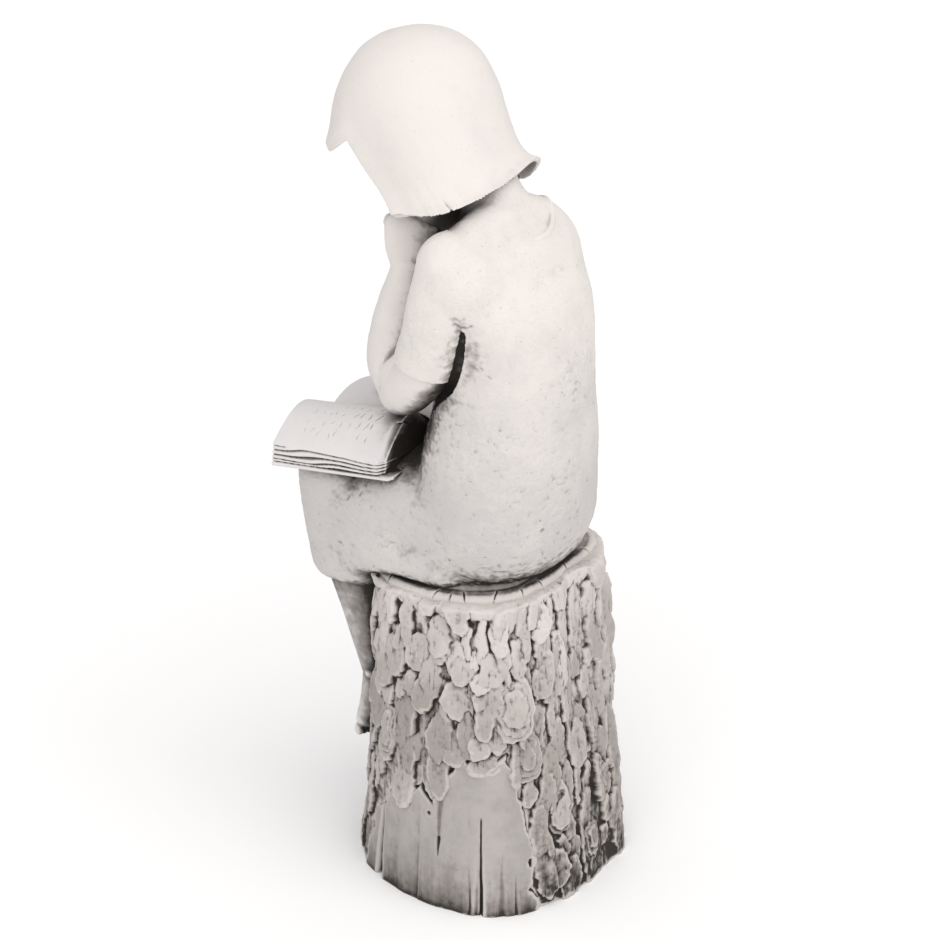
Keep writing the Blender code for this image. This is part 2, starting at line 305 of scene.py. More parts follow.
# A tube along a curve: rows of x, y, z, half-width and, where it isn't round, half-depth along wide.
def limb(rows, wide=(0, -1, 0.001), steps=8, sides=48, openEnd=False, place=None):
    path = curveThrough([tuple(row) + (row[3],) if len(row) == 4 else row for row in rows], steps)
    centres, halves = path[:, :3], path[:, 3:]
    along = np.gradient(centres, axis=0)
    along /= np.linalg.norm(along, axis=1)[:, None]
    angles = np.linspace(0, 2 * math.pi, sides, endpoint=False)

    def ring(centre, direction, halfSide, halfWide):
        depth = np.array(wide, float) - direction * np.dot(wide, direction)
        depth /= np.linalg.norm(depth)
        side = np.cross(direction, depth)
        return (centre + np.outer(np.cos(angles) * halfSide, side)
                + np.outer(np.sin(angles) * halfWide, depth))

    def roundEnd(index, sign):
        rings = []
        for step in range(1, 9):
            angle = math.pi / 2 * step / 9
            centre = centres[index] + sign * along[index] * halves[index].mean() * math.cos(angle)
            rings.append(ring(centre, along[index], *(halves[index] * math.sin(angle))))
        return rings

    rings = roundEnd(0, -1) + [ring(*row) for row in zip(centres, along, halves[:, 0], halves[:, 1])]
    if not openEnd:
        rings += reversed(roundEnd(-1, 1))
    if place is not None:
        rings = [carried(points, place) for points in rings]
    return skinRings("limb", [onSeat(points) for points in rings])


# Rows of place along the axis, two centres, two half-widths and squareness, skinned as one form.
def loft(sections, axis="z", steps=8, sides=120, place=None, shear=None):
    rings = []
    angles = np.linspace(0, 2 * math.pi, sides, endpoint=False)
    for at, centreA, centreB, halfA, halfB, square in curveThrough(sections, steps):
        a = centreA + halfA * signedPower(np.cos(angles), 2 / square)
        b = centreB + halfB * signedPower(np.sin(angles), 2 / square)
        level = np.full(sides, at)
        points = np.stack([a, b, level] if axis == "z" else [a, level, b], axis=1)
        if shear is not None:
            points = shear(points)
        if place is not None:
            points = carried(points, place)
        rings.append(onSeat(points))
    return skinRings("loft", rings)


def ball(centre, halves, place=None):
    bm = bmesh.new()
    bmesh.ops.create_icosphere(bm, subdivisions=5, radius=1)
    matrix = Matrix.Translation(Vector(centre)) @ Matrix.Diagonal((*halves, 1))
    bmesh.ops.transform(bm, matrix=(place or Matrix()) @ matrix, verts=bm.verts)
    bmesh.ops.transform(bm, matrix=seatMatrix(), verts=bm.verts)
    return linkForm("ball", bm)


# Turns the form with its modifiers into plain mesh.
def settle(form):
    graph = bpy.context.evaluated_depsgraph_get()
    mesh = bpy.data.meshes.new_from_object(form.evaluated_get(graph))
    form.modifiers.clear()
    form.data = mesh
    return form


# One skin round all the forms, softened where they meet, and made finer if asked.
def fuse(name, forms, voxel, smoothing=0, finer=0):
    bm = bmesh.new()
    for form in forms:
        bm.from_mesh(form.data)
        bpy.data.objects.remove(form)
    whole = linkForm(name, bm)
    skin = whole.modifiers.new("skin", "REMESH")
    skin.mode = "VOXEL"
    skin.voxel_size = voxel
    if smoothing:
        soften = whole.modifiers.new("soften", "SMOOTH")
        soften.factor = 0.5
        soften.iterations = smoothing
    if finer:
        rounder = whole.modifiers.new("rounder", "SUBSURF")
        rounder.levels = rounder.render_levels = finer
    return settle(whole)


# Takes the tool's form out of the other.
def cut(form, tool):
    boolean = form.modifiers.new("cut", "BOOLEAN")
    boolean.operation = "DIFFERENCE"
    boolean.solver = "MANIFOLD"
    boolean.object = tool
    settle(form)
    bpy.data.objects.remove(tool)
    return form


# Draws each point towards the middle of its neighbours, as far as its weight allows.
def relax(piece, rounds, weight):
    points = readPoints(piece)
    ends = np.empty(len(piece.data.edges) * 2, np.int32)
    piece.data.edges.foreach_get("vertices", ends)
    a, b = ends.reshape(-1, 2).T
    count = np.bincount(a, minlength=len(points)) + np.bincount(b, minlength=len(points))
    for turn in range(rounds):
        for axis in range(3):
            values = points[:, axis]
            total = np.bincount(a, values[b], len(points)) + np.bincount(b, values[a], len(points))
            points[:, axis] += statue["relaxStep"] * weight * (total / count - values)
    writePoints(piece, points)
    return points


# Thins a form to its share of the triangles, where it has more.
def thinTo(form, triangles):
    count = sum(len(face.vertices) - 2 for face in form.data.polygons)
    if count > triangles:
        thin = form.modifiers.new("thin", "DECIMATE")
        thin.ratio = triangles / count
        settle(form)
    return form


# The head, in its own frame: +X her left, -Y the way she looks, +Z the crown

head = {
    "place": (0, -60, 415),
    "pitch": 38.5,          # degrees that the face looks down
    "roll": 3.0,
    "voxel": 0.0009,
    "hem": ((0, -49), (70, -49), (80, -56), (90, -65), (100, -73), (110, -79), (125, -83), (145, -87), (160, -87),
            (180, -83), (200, -79), (215, -77), (240, -81), (258, -88), (270, -86), (280, -76), (292, -62), (302, -50),
            (360, -49)),    # its height round the head: 0 in front, 90 her left, 180 behind
    "hemLevel": -74,
    "napeFlare": 7,         # shares that the hair stands out
    "fringeFlare": 10.5,
    "fringeFrom": 74, "fringeTo": 33,   # heights between which the fringe comes out
    "strandDepth": 0.0005,
    "strandWidth": 0.011,
    "waveDepth": 0.0006,    # slow hollows and swells of the bob
    "waveSize": 0.026,
    "notches": ((181, -83), (-164, -80), (-128, -84), (112, -80), (-88, -80)),   # angle and height
    "notchDepth": 0.0014,
}


def headFrame():
    roll = Matrix.Rotation(math.radians(head["roll"]), 4, "Y")
    pitch = Matrix.Rotation(math.radians(head["pitch"]), 4, "X")
    return Matrix.Translation(Vector(head["place"])) @ (roll @ pitch)


# An arc over the eyelid, t running from the nose side to the temple side.
def lidArc(side, centre, width, rise, out, thickness):
    rows = []
    for t in np.linspace(-1, 1, 9):
        x = side * (centre[0] + width * t)
        y = centre[1] - out * math.sqrt(1 - (0.86 * t) ** 2)
        rows.append((x, y, centre[2] + rise * (1 - t * t) - 0.6 * t, thickness * (1 - 0.45 * t * t)))
    return rows


def makeFace(place):
    skull = loft([(-91, 0, -42, 10, 12, 2), (-86, 0, -38, 24, 26, 2), (-72, 0, -29, 41, 40, 2.1),
                  (-50, 0, -20, 54, 51, 2.2), (-28, 0, -12, 60, 59, 2.2), (-5, 0, -8, 62, 64, 2.2),
                  (22, 0, -8, 62, 67, 2.1), (45, 0, -9, 56, 60, 2), (66, 0, -10, 38, 42, 2),
                  (76, 0, -10, 14, 16, 2)], place=place)
    cheeks = [ball((side * 30, -47, -44), (22, 21, 20), place) for side in (1, -1)]
    chin = ball((0, -53, -78), (17, 16, 12), place)
    flesh = fuse("flesh", [skull, chin] + cheeks, statue["bodyVoxel"], smoothing=14, finer=1)
    for side in (1, -1):
        cut(flesh, ball((side * 25, -82, -8), (18, 13, 11), place))
    features = [limb([(0, -65, -2, 4.4), (0, -71, -20, 5.2), (0, -76.5, -33, 6.4)], place=place),
                ball((0, -78, -35.5), (6.6, 5.4, 5.2), place)]
    for side in (1, -1):
        features.append(ball((side * 24.5, -57.5, -11), (13.2, 12.6, 9.8), place))
        features.append(ball((side * 7.4, -70.5, -38.5), (4.8, 6, 4.4), place))
        features.append(limb(lidArc(side, (24.5, -58, -12), 12.2, -5.2, 12.2, 1.5), sides=16, place=place))
        features.append(limb(lidArc(side, (24.5, -57.6, -14), 10.6, -6.6, 10.2, 1.3), sides=16, place=place))
        features.append(limb([(side * 8, -69, 5, 2.4), (side * 23, -66.5, 10, 3.4),
                              (side * 39, -57, 5, 2.6)], place=place))
    features.append(limb([(-13.5, -65, -57.5, 1.4), (-6, -70.6, -55, 3.2), (0, -71.6, -55.8, 2.9),
                          (6, -70.6, -55, 3.2), (13.5, -65, -57.5, 1.4)], place=place))
    features.append(limb([(-11, -65.6, -60, 1.8), (-5, -69.8, -62, 3.7), (0, -70.4, -62.4, 4),
                          (5, -69.8, -62, 3.7), (11, -65.6, -60, 1.8)], place=place))
    face = fuse("face", [flesh] + features, head["voxel"], smoothing=5)
    for side in (1, -1):
        cut(face, limb(lidArc(side, (24.5, -59, -9), 12.4, 7.4, 12.6, 1.0), sides=16, place=place))
        cut(face, ball((side * 4, -74.5, -42.5), (2.3, 3.4, 2.2), place))
    return face


# Draws the bob's lower part down to its hem, and flares it at the nape and over the brow.
def styleHair(points):
    angle = np.degrees(np.arctan2(points[:, 0], -(points[:, 1] + 21))) % 360
    places, levels = zip(*head["hem"])
    low = np.clip(points[:, 2] / head["hemLevel"], 0, 2)
    outward = points[:, :2] - (0, -21)
    outward /= np.linalg.norm(outward, axis=1)[:, None] + 1e-6
    behind = stepBetween(90 - np.abs(angle - 190), 0, 45)
    flare = head["napeFlare"] * behind * np.clip((low - 0.66) / 0.34, 0, 1.3) ** 2.4
    inFront = stepBetween(-points[:, 1], 20, 62)
    drop = np.clip((head["fringeFrom"] - points[:, 2]) / (head["fringeFrom"] - head["fringeTo"]), 0, 1)
    flare = flare + head["fringeFlare"] * inFront * drop ** 3.6
    points[:, :2] += outward * flare[:, None]
    points[:, 2] = np.where(points[:, 2] < 0, -low * -np.interp(angle, places, levels), points[:, 2])
    return points


def makeHair(place):
    cap = loft([(-74, 0, -21, 75, 60, 2.15), (-66, 0, -21, 73, 57, 2.15), (-48, 0, -21, 71, 61, 2.15),
                (-25, 0, -19, 72, 67, 2.15), (0, 0, -16, 73, 75, 2.15), (30, 0, -14, 71, 76, 2.1),
                (56, 0, -13, 61, 64, 2.05), (75, 0, -12, 42, 42, 2), (86, 0, -12, 20, 16, 2),
                (88, 0, -12, 6, 5, 2)], place=place, steps=14, sides=200, shear=styleHair)
    hollow = loft([(-120, 0, -21, 69, 55, 2.2), (-72, 0, -21, 68, 53, 2.2), (-56, 0, -20, 60, 48, 2.2),
                   (-44, 0, -20, 44, 36, 2.2)], place=place, shear=styleHair)
    cut(cap, hollow)
    brow = [(100, 18), (66, 22), (52, 28), (30, 33), (0, 35), (-30, 33), (-52, 28), (-66, 22), (-100, 18)]
    outline = [(-100, -150), (100, -150)] + brow
    window = [onSeat([place @ Vector((x, y, z)) for x, z in outline]) for y in (-170, -39)]
    return cut(cap, skinRings("window", window))     # opens it for the face


# Strands run from the crown to the hem and are clearest low down.
def combHair(piece, place):
    points, normals = readPoints(piece), readNormals(piece)
    local = carried(points, (seatMatrix() @ place).inverted())
    angle = np.degrees(np.arctan2(local[:, 0], -(local[:, 1] + 12)))
    outer = np.sqrt((local[:, 0] / 72) ** 2 + ((local[:, 1] + 14) / 72) ** 2)
    behindFace = stepBetween(local[:, 1], -42, -36) * stepBetween(outer, 0.82, 0.9)
    isHair = np.maximum(stepBetween(local[:, 2], 28, 34), behindFace)
    low = stepBetween(-local[:, 2], -40, 60)
    around = np.stack([np.radians(angle) * 70 * share, local[:, 2] * share * 0.16, np.zeros(len(points))], axis=1)
    strands = np.abs(noiseAt(around, head["strandWidth"], 3)) - 0.3
    strands = strands + 0.5 * noiseAt(around, head["strandWidth"] * 2.6, 4)
    waves = noiseAt(points, head["waveSize"], 5)
    shift = isHair * (head["strandDepth"] * strands * (0.12 + low) + head["waveDepth"] * waves * (0.3 + low))
    for notch, level in head["notches"]:
        aside = offAngle(angle, notch) + 0.25 * (local[:, 2] - level)
        reach = stepBetween(level + 16 - local[:, 2], 0, 12)
        shift -= isHair * head["notchDepth"] * np.exp(-(aside / 1.0) ** 2) * reach
    pushOut(piece, points, normals, shift)


def makeHead():
    place = headFrame()
    whole = fuse("girlHead", [makeFace(place), makeHair(place)], head["voxel"], smoothing=3)
    combHair(whole, place)
    return thinTo(whole, statue["budget"]["head"])


# Arms, hands, legs and feet

limbs = {
    "voxel": 0.0010,
    "across": (-0.574, 0.819, 0.0),      # along the knuckles of the hand at her chin
    "toChin": (-0.82, -0.57, -0.52),     # the way its fingers curl
    "fingers": ((-18, 24), (-6, 28), (6, 26), (18, 20)),   # place along the knuckles, reach
    "pageFingers": ((-14, 16), (-5, 21), (5, 22), (14, 18)),
    "toes": (7, 5.6, 5.4, 5, 4.6),       # half-widths, from the big toe
}


def makeArms():
    chinArm = limb([(66, 4, 308, 31), (74, -7, 262, 26), (75, -18, 212, 24), (61, -44, 182, 24),
                    (46, -64, 167, 23)])
    elbow = limb([(62, -34, 204, 22), (55, -50, 188, 25), (43, -66, 184, 26), (38, -72, 200, 26)])
    forearm = limb([(46, -64, 167, 23), (39, -74, 194, 29), (35, -73, 235, 25), (33, -66, 284, 15)])
    restingArm = limb([(-70, 11, 286, 31), (-84, 0, 240, 29), (-93, -22, 178, 24), (-88, -42, 155, 21),
                       (-74, -76, 138, 15), (-60, -104, 133, 11)])
    return [chinArm, elbow, forearm, restingArm]


def makeHands():
    across = np.array(limbs["across"])
    forms = [limb([(33, -66, 280, 13, 16), (33, -65, 300, 12, 22), (31, -65, 318, 12, 24)], wide=across)]
    for step, reach in limbs["fingers"]:
        knuckle = np.array((27, -68, 322)) + across * step
        tip = knuckle + np.array(limbs["toChin"]) * reach
        forms.append(limb([(*knuckle, 6.8), (*((knuckle + tip) / 2 + (0, 0, 3)), 6.6), (*tip, 5.6)], sides=32))
    forms.append(limb([(26, -58, 296, 7), (14, -54, 303, 6.5), (2, -56, 306, 6)], sides=32))
    palm = [(-60, -102, 133, 13, 8.5), (-53, -118, 130, 18, 7), (-50, -130, 127, 18, 6.5)]
    forms.append(limb(palm, wide=(0, 0, 1)))
    for step, reach in limbs["pageFingers"]:
        start = np.array((-50 + step, -131, 126))
        middle = start + (step * 0.05 + 1, -reach * 0.5, 0.5)
        tip = start + (step * 0.1 + 2, -reach, -4)
        forms.append(limb([(*start, 5.6), (*middle, 5.2), (*tip, 4.6)], sides=32))
    forms.append(limb([(-44, -112, 130, 6.5), (-30, -122, 129, 5.6), (-24, -133, 127, 4.8)], sides=32))
    return forms


def makeLegs():
    forms = []
    for side, lean in ((1, 0), (-1, 6)):
        knee = np.array((side * 46, -132, 30))
        ankle = np.array((side * 31 + lean / 2, -107 - lean, -132))
        calf = (knee + ankle) / 2 + (0, 6, 8)
        forms.append(limb([(*knee, 35), (*calf, 31), (*ankle, 17)]))
        ballOfFoot = ankle + (0, -9, -55)
        forms.append(limb([(*(ankle + (0, 4, 2)), 16, 18), (*(ankle + (0, -1, -32)), 18, 16),
                           (*ballOfFoot, 20, 11)], wide=(0, -1, 0.3)))
        for spread in (1, -1):
            forms.append(ball(ankle + (spread * 13, 1, -3), (6, 7, 7)))
        for toe, size in enumerate(limbs["toes"]):
            place = ballOfFoot + (-side * (14 - toe * 7.2), -4, -16 + abs(toe - 1) * 1.2)
            forms.append(ball(place, (size, size, size * 1.5)))
    return forms


def makeLimbs():
    whole = fuse("girlLimbs", makeArms() + makeHands() + makeLegs(), limbs["voxel"], smoothing=5)
    points, normals = readPoints(whole), readNormals(whole)
    shift = 0.0002 * layeredNoise(points, 0.012, 21) + 0.00012 * layeredNoise(points, 0.004, 22)
    pushOut(whole, points, normals, shift)
    return thinTo(whole, statue["budget"]["limbs"])


# The dress, with the neck and its collar line

dress = {
    "voxel": 0.0013,
    "collarCentre": (0, 5),     # shares
    "collarRadius": 50,
    "collarSide": (-0.574, 0.819),   # where the collar stands out most
    "collarRise": 0.0021,
    "collarWidth": 0.0014,
    "flakeSize": (0.0088, 0.0088, 0.0038),
    "flakeDepth": 0.00085,
    "terraces": 2.6,               # steps in the height of the flakes
    "pitSize": 0.0046,
    "pitDepth": 0.0006,
    "swellDepth": 0.0013,
    "slit": ((80, 27, 264, 1.6), (79.5, 26, 252, 3.4), (78, 22, 232, 4.6), (76, 17, 214, 5.6),
             (72, 10, 198, 7), (62, -6, 180, 9), (50, -24, 160, 10)),    # between the sleeve and the back
    "crease": ((0.086, -0.080, 0.392), (0.087, -0.083, 0.379), (0.088, -0.082, 0.365)),
    "creaseDepth": 0.0011,
    "creaseWidth": 0.0011,
    "relaxRounds": 70, "backRounds": 200,
    "neckLine": (-345, -322),      # shares below which the cloth is drawn smooth, counted down
}


def makeDress():
    bodice = loft([(-8, 0, 5, 52, 42, 2.2), (2, 0, 6, 68, 56, 2.2), (20, 0, 10, 84, 70, 2.2),
                   (55, 0, 15, 92, 77, 2.2), (115, 0, 22, 88, 73, 2.2), (173, 0, 27, 81, 65, 2.2),
                   (225, -1, 28, 81, 60, 2.3), (265, -1, 25, 82, 55, 2.5), (300, 1, 16, 78, 46, 2.4),
                   (322, 4, 9, 58, 37, 2.2), (334, 3, 4, 38, 29, 2)])
    lap = loft([(60, 0, 45, 60, 38, 2.2), (20, 0, 46, 90, 50, 2.4), (-40, 0, 53, 95, 57, 2.6),
                (-86, 0, 39, 95, 66, 2.6), (-124, 0, 25, 88, 74, 2.7), (-148, 0, 17, 78, 70, 2.7),
                (-160, 0, 14, 66, 62, 2.6), (-170, 0, 14, 50, 46, 2.4), (-174, 0, 14, 38, 34, 2.2)], axis="y")
    kneeFront = loft([(-36, 0, -116, 60, 30, 2.6), (-28, 0, -117, 78, 42, 3), (-21, 0, -117.5, 85, 46, 3),
                      (14, 0, -121, 90, 48, 3), (44, 0, -126, 90, 48, 3), (73, 0, -129, 90, 48, 3),
                      (84, 0, -129, 88, 46, 3), (90, 0, -129, 80, 38, 2.6)])
    onSeatEdge = loft([(42, 0, 13, 52, 18, 3), (15, 0, 15, 86, 20, 3.6), (-15, 0, 19, 94, 22, 3.8),
                       (-50, 0, 21, 98, 24, 3.6), (-85, 0, 14, 96, 34, 3), (-115, 0, 4, 86, 46, 3)], axis="y")
    thighs = fuse("thighs", [lap, kneeFront, onSeatEdge], statue["bodyVoxel"])
    cut(thighs, limb([(0, -194, 120, 12), (0, -190, 40, 17), (0, -184, -70, 16)]))
    shoulders = limb([(-70, 11, 286, 31), (-34, 11, 310, 27), (0, 9, 318, 26), (30, 9, 317, 28),
                      (63, 8, 306, 32)])
    yoke = limb([(-70, 12, 290, 29), (-56, 21, 306, 27), (-30, 23, 325, 24), (0, 18, 335, 24), (28, 17, 332, 24),
                 (56, 12, 312, 28)])
    upperBack = limb([(60, 18, 290, 34), (34, 27, 303, 33), (0, 31, 308, 32), (-34, 27, 303, 33),
                      (-60, 18, 290, 34)])
    upperSleeve = limb([(66, 8, 304, 34), (70, 4, 290, 33), (73, 0, 280, 31)])
    armpit = limb([(62, 18, 300, 34), (68, 18, 284, 32), (71, 16, 270, 24), (73, 14, 262, 12)])
    otherUpperSleeve = limb([(-69, 11, 285, 34), (-75, 8, 268, 35)])
    neck = limb([(0, 12, 318, 37), (0, 4, 345, 30), (0, -22, 384, 29)])
    forms = [bodice, thighs, shoulders, yoke, upperBack, upperSleeve, armpit, otherUpperSleeve, neck]
    body = fuse("body", forms, statue["bodyVoxel"], smoothing=26, finer=1)
    level = readPoints(body)[:, 2] - statue["seatHeight"]
    underNeck = stepBetween(-level, dress["neckLine"][0] * share, dress["neckLine"][1] * share)
    relax(body, dress["relaxRounds"], underNeck)
    relax(body, dress["backRounds"], stepBetween(level, 230 * share, 275 * share) * underNeck)
    sleeve = limb([(66, 7, 303, 32), (72.5, -1, 274, 31), (75, -7, 243, 30), (76.5, -17, 212, 29)],
                  openEnd=True)
    otherSleeve = limb([(-69, 11, 285, 33), (-81, 4, 250, 36), (-90, -14, 208, 33)], openEnd=True)
    whole = cut(fuse("clothed", [body, sleeve, otherSleeve], dress["voxel"]), limb(dress["slit"], sides=24))
    whole = fuse("girlDress", [whole], dress["voxel"], smoothing=3)
    roughenDress(whole)
    return thinTo(whole, statue["budget"]["dress"])


# The collar stands a little proud of the neck, and the cloth below is trowelled, flaked and pitted.
def roughenDress(piece):
    points, normals = readPoints(piece), readNormals(piece)
    shares = (points - (0, 0, statue["seatHeight"])) / share
    fromNeck = np.hypot(shares[:, 0] - dress["collarCentre"][0], shares[:, 1] - dress["collarCentre"][1])
    beyond = (fromNeck - dress["collarRadius"]) * share
    nearCollar = stepBetween(shares[:, 2], 292, 306)
    facing = (shares[:, :2] - dress["collarCentre"]) @ np.array(dress["collarSide"]) / dress["collarRadius"]
    ridge = np.exp(-(beyond / dress["collarWidth"]) ** 2) * (0.10 + 0.90 * stepBetween(facing, 0.45, 0.95))
    cloth = np.where(nearCollar > 0, stepBetween(beyond, -0.001, 0.001), 1)
    shift = dress["collarRise"] * nearCollar * ridge
    lower = stepBetween(-shares[:, 2], -300, -190)
    sleeves = stepBetween(np.abs(shares[:, 0]), 62, 78) * stepBetween(-shares[:, 2], -300, -262)
    rough = np.maximum(0.12 + 0.88 * lower, 0.75 * sleeves) * cloth
    warped = points + 0.0035 * np.stack([layeredNoise(points, 0.008, seed, 2) for seed in (31, 32, 33)], axis=1)
    flakes = layeredNoise(warped, dress["flakeSize"], 34, layers=2)
    terraces = flakes * dress["terraces"]
    terraces = np.floor(terraces) + stepBetween(terraces - np.floor(terraces), 0.55, 1.0)
    patch = 0.6 + 0.4 * stepBetween(noiseAt(points, 0.05, 35), -0.3, 0.4)
    crumbs = layeredNoise(points, 0.0038, 36, layers=2)
    shift += rough * patch * dress["flakeDepth"] * (0.6 * terraces / dress["terraces"] + 0.4 * crumbs)
    pits = stepBetween(noiseAt(warped, dress["pitSize"], 37), 0.66, 0.86)
    pits = pits * stepBetween(noiseAt(points, 0.03, 39), -0.2, 0.4)
    shift -= rough * dress["pitDepth"] * pits
    shift += dress["swellDepth"] * (0.35 + 0.65 * lower) * noiseAt(points, 0.045, 38)
    away, along = distanceToLine(points, dress["crease"])
    shift -= dress["creaseDepth"] * np.exp(-(away / dress["creaseWidth"]) ** 2)
    pushOut(piece, points, normals, shift)


# The open book on her lap

book = {
    "turn": 6,                 # degrees about Z
    "shift": -12,
    "columns": 120,            # points over both pages, and rows of them
    "rows": 130,
    "sideSteps": 60,           # points along each side and the underside
    "halfWidth": 94,
    "near": -184, "far": -57,  # from the knees to the belly
    "bottom": (84, 12),        # height over the seat at the knees, and its rise to the belly
    "edge": (21, -6),          # thickness at the fore-edge, and its change
    "cover": 4.6,              # thickness of the cover, shares
    "coverLip": 3.0,
    "tailStep": 10,            # the pages end this far short of the cover
    "pageLines": 4,
    "lineDepth": 0.0030,
    "voxel": 0.0006,
    "strokeRows": (79, 69, 58, 46),     # from the fold, shares
    "strokes": 9,
    "strokesFrom": 24,         # from the near edge, shares
    "strokeGap": 8.5,
    "strokesMissing": 0.15,
    "strokeDepth": 0.00045,
    "strokeWidth": 0.0007,
}


# Height of its underside and thickness at the fore-edge, from the knees (back 0) to the belly (back 1).
def bookLevels(back):
    return book["bottom"][0] + book["bottom"][1] * back, book["edge"][0] + book["edge"][1] * back


# Height of the pages over the lap, from the fore-edge (inward 0) to the spine (inward 1).
def pageHeight(inward, arch, edge, bottom):
    bulge = np.sin(math.pi * np.clip(inward, 0, 1)) ** 0.8 * (0.75 + 0.5 * inward)
    bulge = np.where((inward > 0) & (inward < 1), bulge, 0)
    return bottom + edge + arch * bulge - 6 * inward


def makeBook():
    rings = []
    inward = np.linspace(0, 1, book["columns"] // 2)
    half = book["halfWidth"]
    for back in np.linspace(0, 1, book["rows"]):
        bottom, edge = bookLevels(back)
        left = np.stack([half - (half - 2) * inward, pageHeight(inward, 27 + 7 * back, edge, bottom)], axis=1)
        right = np.stack([(half - 2) * inward - half, pageHeight(inward, 12 + 5 * back, edge, bottom)], axis=1)
        top = np.concatenate([left, right[::-1]])
        steps = book["sideSteps"]
        upSide = np.linspace(0, 1, steps + 2)[1:-1]
        rightSide = np.stack([np.full(steps, -half), top[-1, 1] + (bottom - top[-1, 1]) * upSide], axis=1)
        under = np.stack([np.linspace(-half, half, steps), np.full(steps, bottom)], axis=1)
        leftSide = np.stack([np.full(steps, half), bottom + (top[0, 1] - bottom) * upSide], axis=1)
        outline = np.concatenate([top, rightSide, under, leftSide])
        y = book["near"] + (book["far"] - book["near"]) * back
        rings.append(np.stack([outline[:, 0], np.full(len(outline), y), outline[:, 1]], axis=1))
    rings = np.array(rings)
    shapeEdges(rings)
    turn = Matrix.Rotation(math.radians(book["turn"]), 4, "Z")
    turn = np.array(Matrix.Translation((book["shift"], 0, 0)) @ turn)
    placed = onSeat(carried(rings, turn))
    whole = fuse("openBook", [skinRings("openBook", placed)], book["voxel"], smoothing=1)
    strokePages(whole, turn)
    return thinTo(whole, statue["budget"]["book"])


# Page lines along both fore-edges, the cover's lip under them, and the step from the pages to the cover
# at the tail.
def shapeEdges(rings):
    back = (rings[:, :, 1] - book["near"]) / (book["far"] - book["near"])
    bottom, edge = bookLevels(back)
    up = (rings[:, :, 2] - bottom) / edge
    out, side = np.abs(rings[:, :, 0]), np.sign(rings[:, :, 0])
    onSide = out > book["halfWidth"] - 0.5
    flat = rings.reshape(-1, 3) * share
    wander = noiseAt(flat * (0, 1, 1), (1, 0.034, 0.012), 41).reshape(up.shape)
    coverShare = book["cover"] / book["edge"][0]
    pages = np.clip((up - coverShare) / (1 - coverShare), 0, 1)
    phase = pages * book["pageLines"] + 0.8 * wander
    groove = np.exp(-((phase - np.round(phase)) / 0.20) ** 2) * (pages < 0.97)
    fan = 2.8 * (1 - pages) * stepBetween(pages, 0.0, 0.1)
    rounding = 7 * stepBetween(back, 0.93, 1.0) ** 2
    coverEdge = book["coverLip"] - 2.4 * np.abs(2 * up / coverShare - 1) ** 3
    coverEdge = coverEdge - 5 * stepBetween(back, 0.96, 1.0) ** 2
    outward = np.where(up < coverShare, coverEdge, fan - rounding - groove * book["lineDepth"] / share)
    corner = np.where(up >= 0.99, -side * rounding * (out > 60), 0)
    rings[:, :, 0] += np.where(onSide & (up < 0.99), side * outward, corner)
    rings[:, :, 1] -= book["tailStep"] * (back * (up > coverShare) * stepBetween(np.abs(rings[:, :, 0]), 4, 30))


# Rows of short slanting strokes where a page would have its lines; they stand for no letters.
def strokePages(piece, turn):
    chance = np.random.default_rng(9)
    points, normals = readPoints(piece), readNormals(piece)
    local = ((points - (0, 0, statue["seatHeight"])) / share - turn[:3, 3]) @ turn[:3, :3]
    shift = np.zeros(len(points))
    onPage = stepBetween(normals[:, 2], 0.3, 0.5)
    for side in (1, -1):
        for row in book["strokeRows"]:
            for number in range(book["strokes"]):
                if chance.random() < book["strokesMissing"]:
                    continue
                x = side * (row + chance.uniform(-1.5, 1.5))
                y = book["near"] + book["strokesFrom"] + number * book["strokeGap"] + chance.uniform(-2.5, 2.5)
                length, slant = chance.uniform(1.8, 3.8), chance.uniform(-2.5, 1.5)
                middle = (x + chance.uniform(-1.2, 1.2), y + chance.uniform(-1.4, 1.4), 0)
                stops = [(x - length, y - slant, 0), middle, (x + length, y + slant, 0)]
                close = np.all(np.abs(local[:, :2] - (x, y)) < 12, axis=1)
                away, along = distanceToLine(local[close] * (1, 1, 0), stops)
                depth = book["strokeDepth"] * np.exp(-(away * share / book["strokeWidth"]) ** 2)
                shift[close] -= depth * (0.5 + 0.5 * np.sin(math.pi * along))
    pushOut(piece, points, normals, shift * onPage)


# The stump: a trunk of bare wood and a shell of bark plates round it

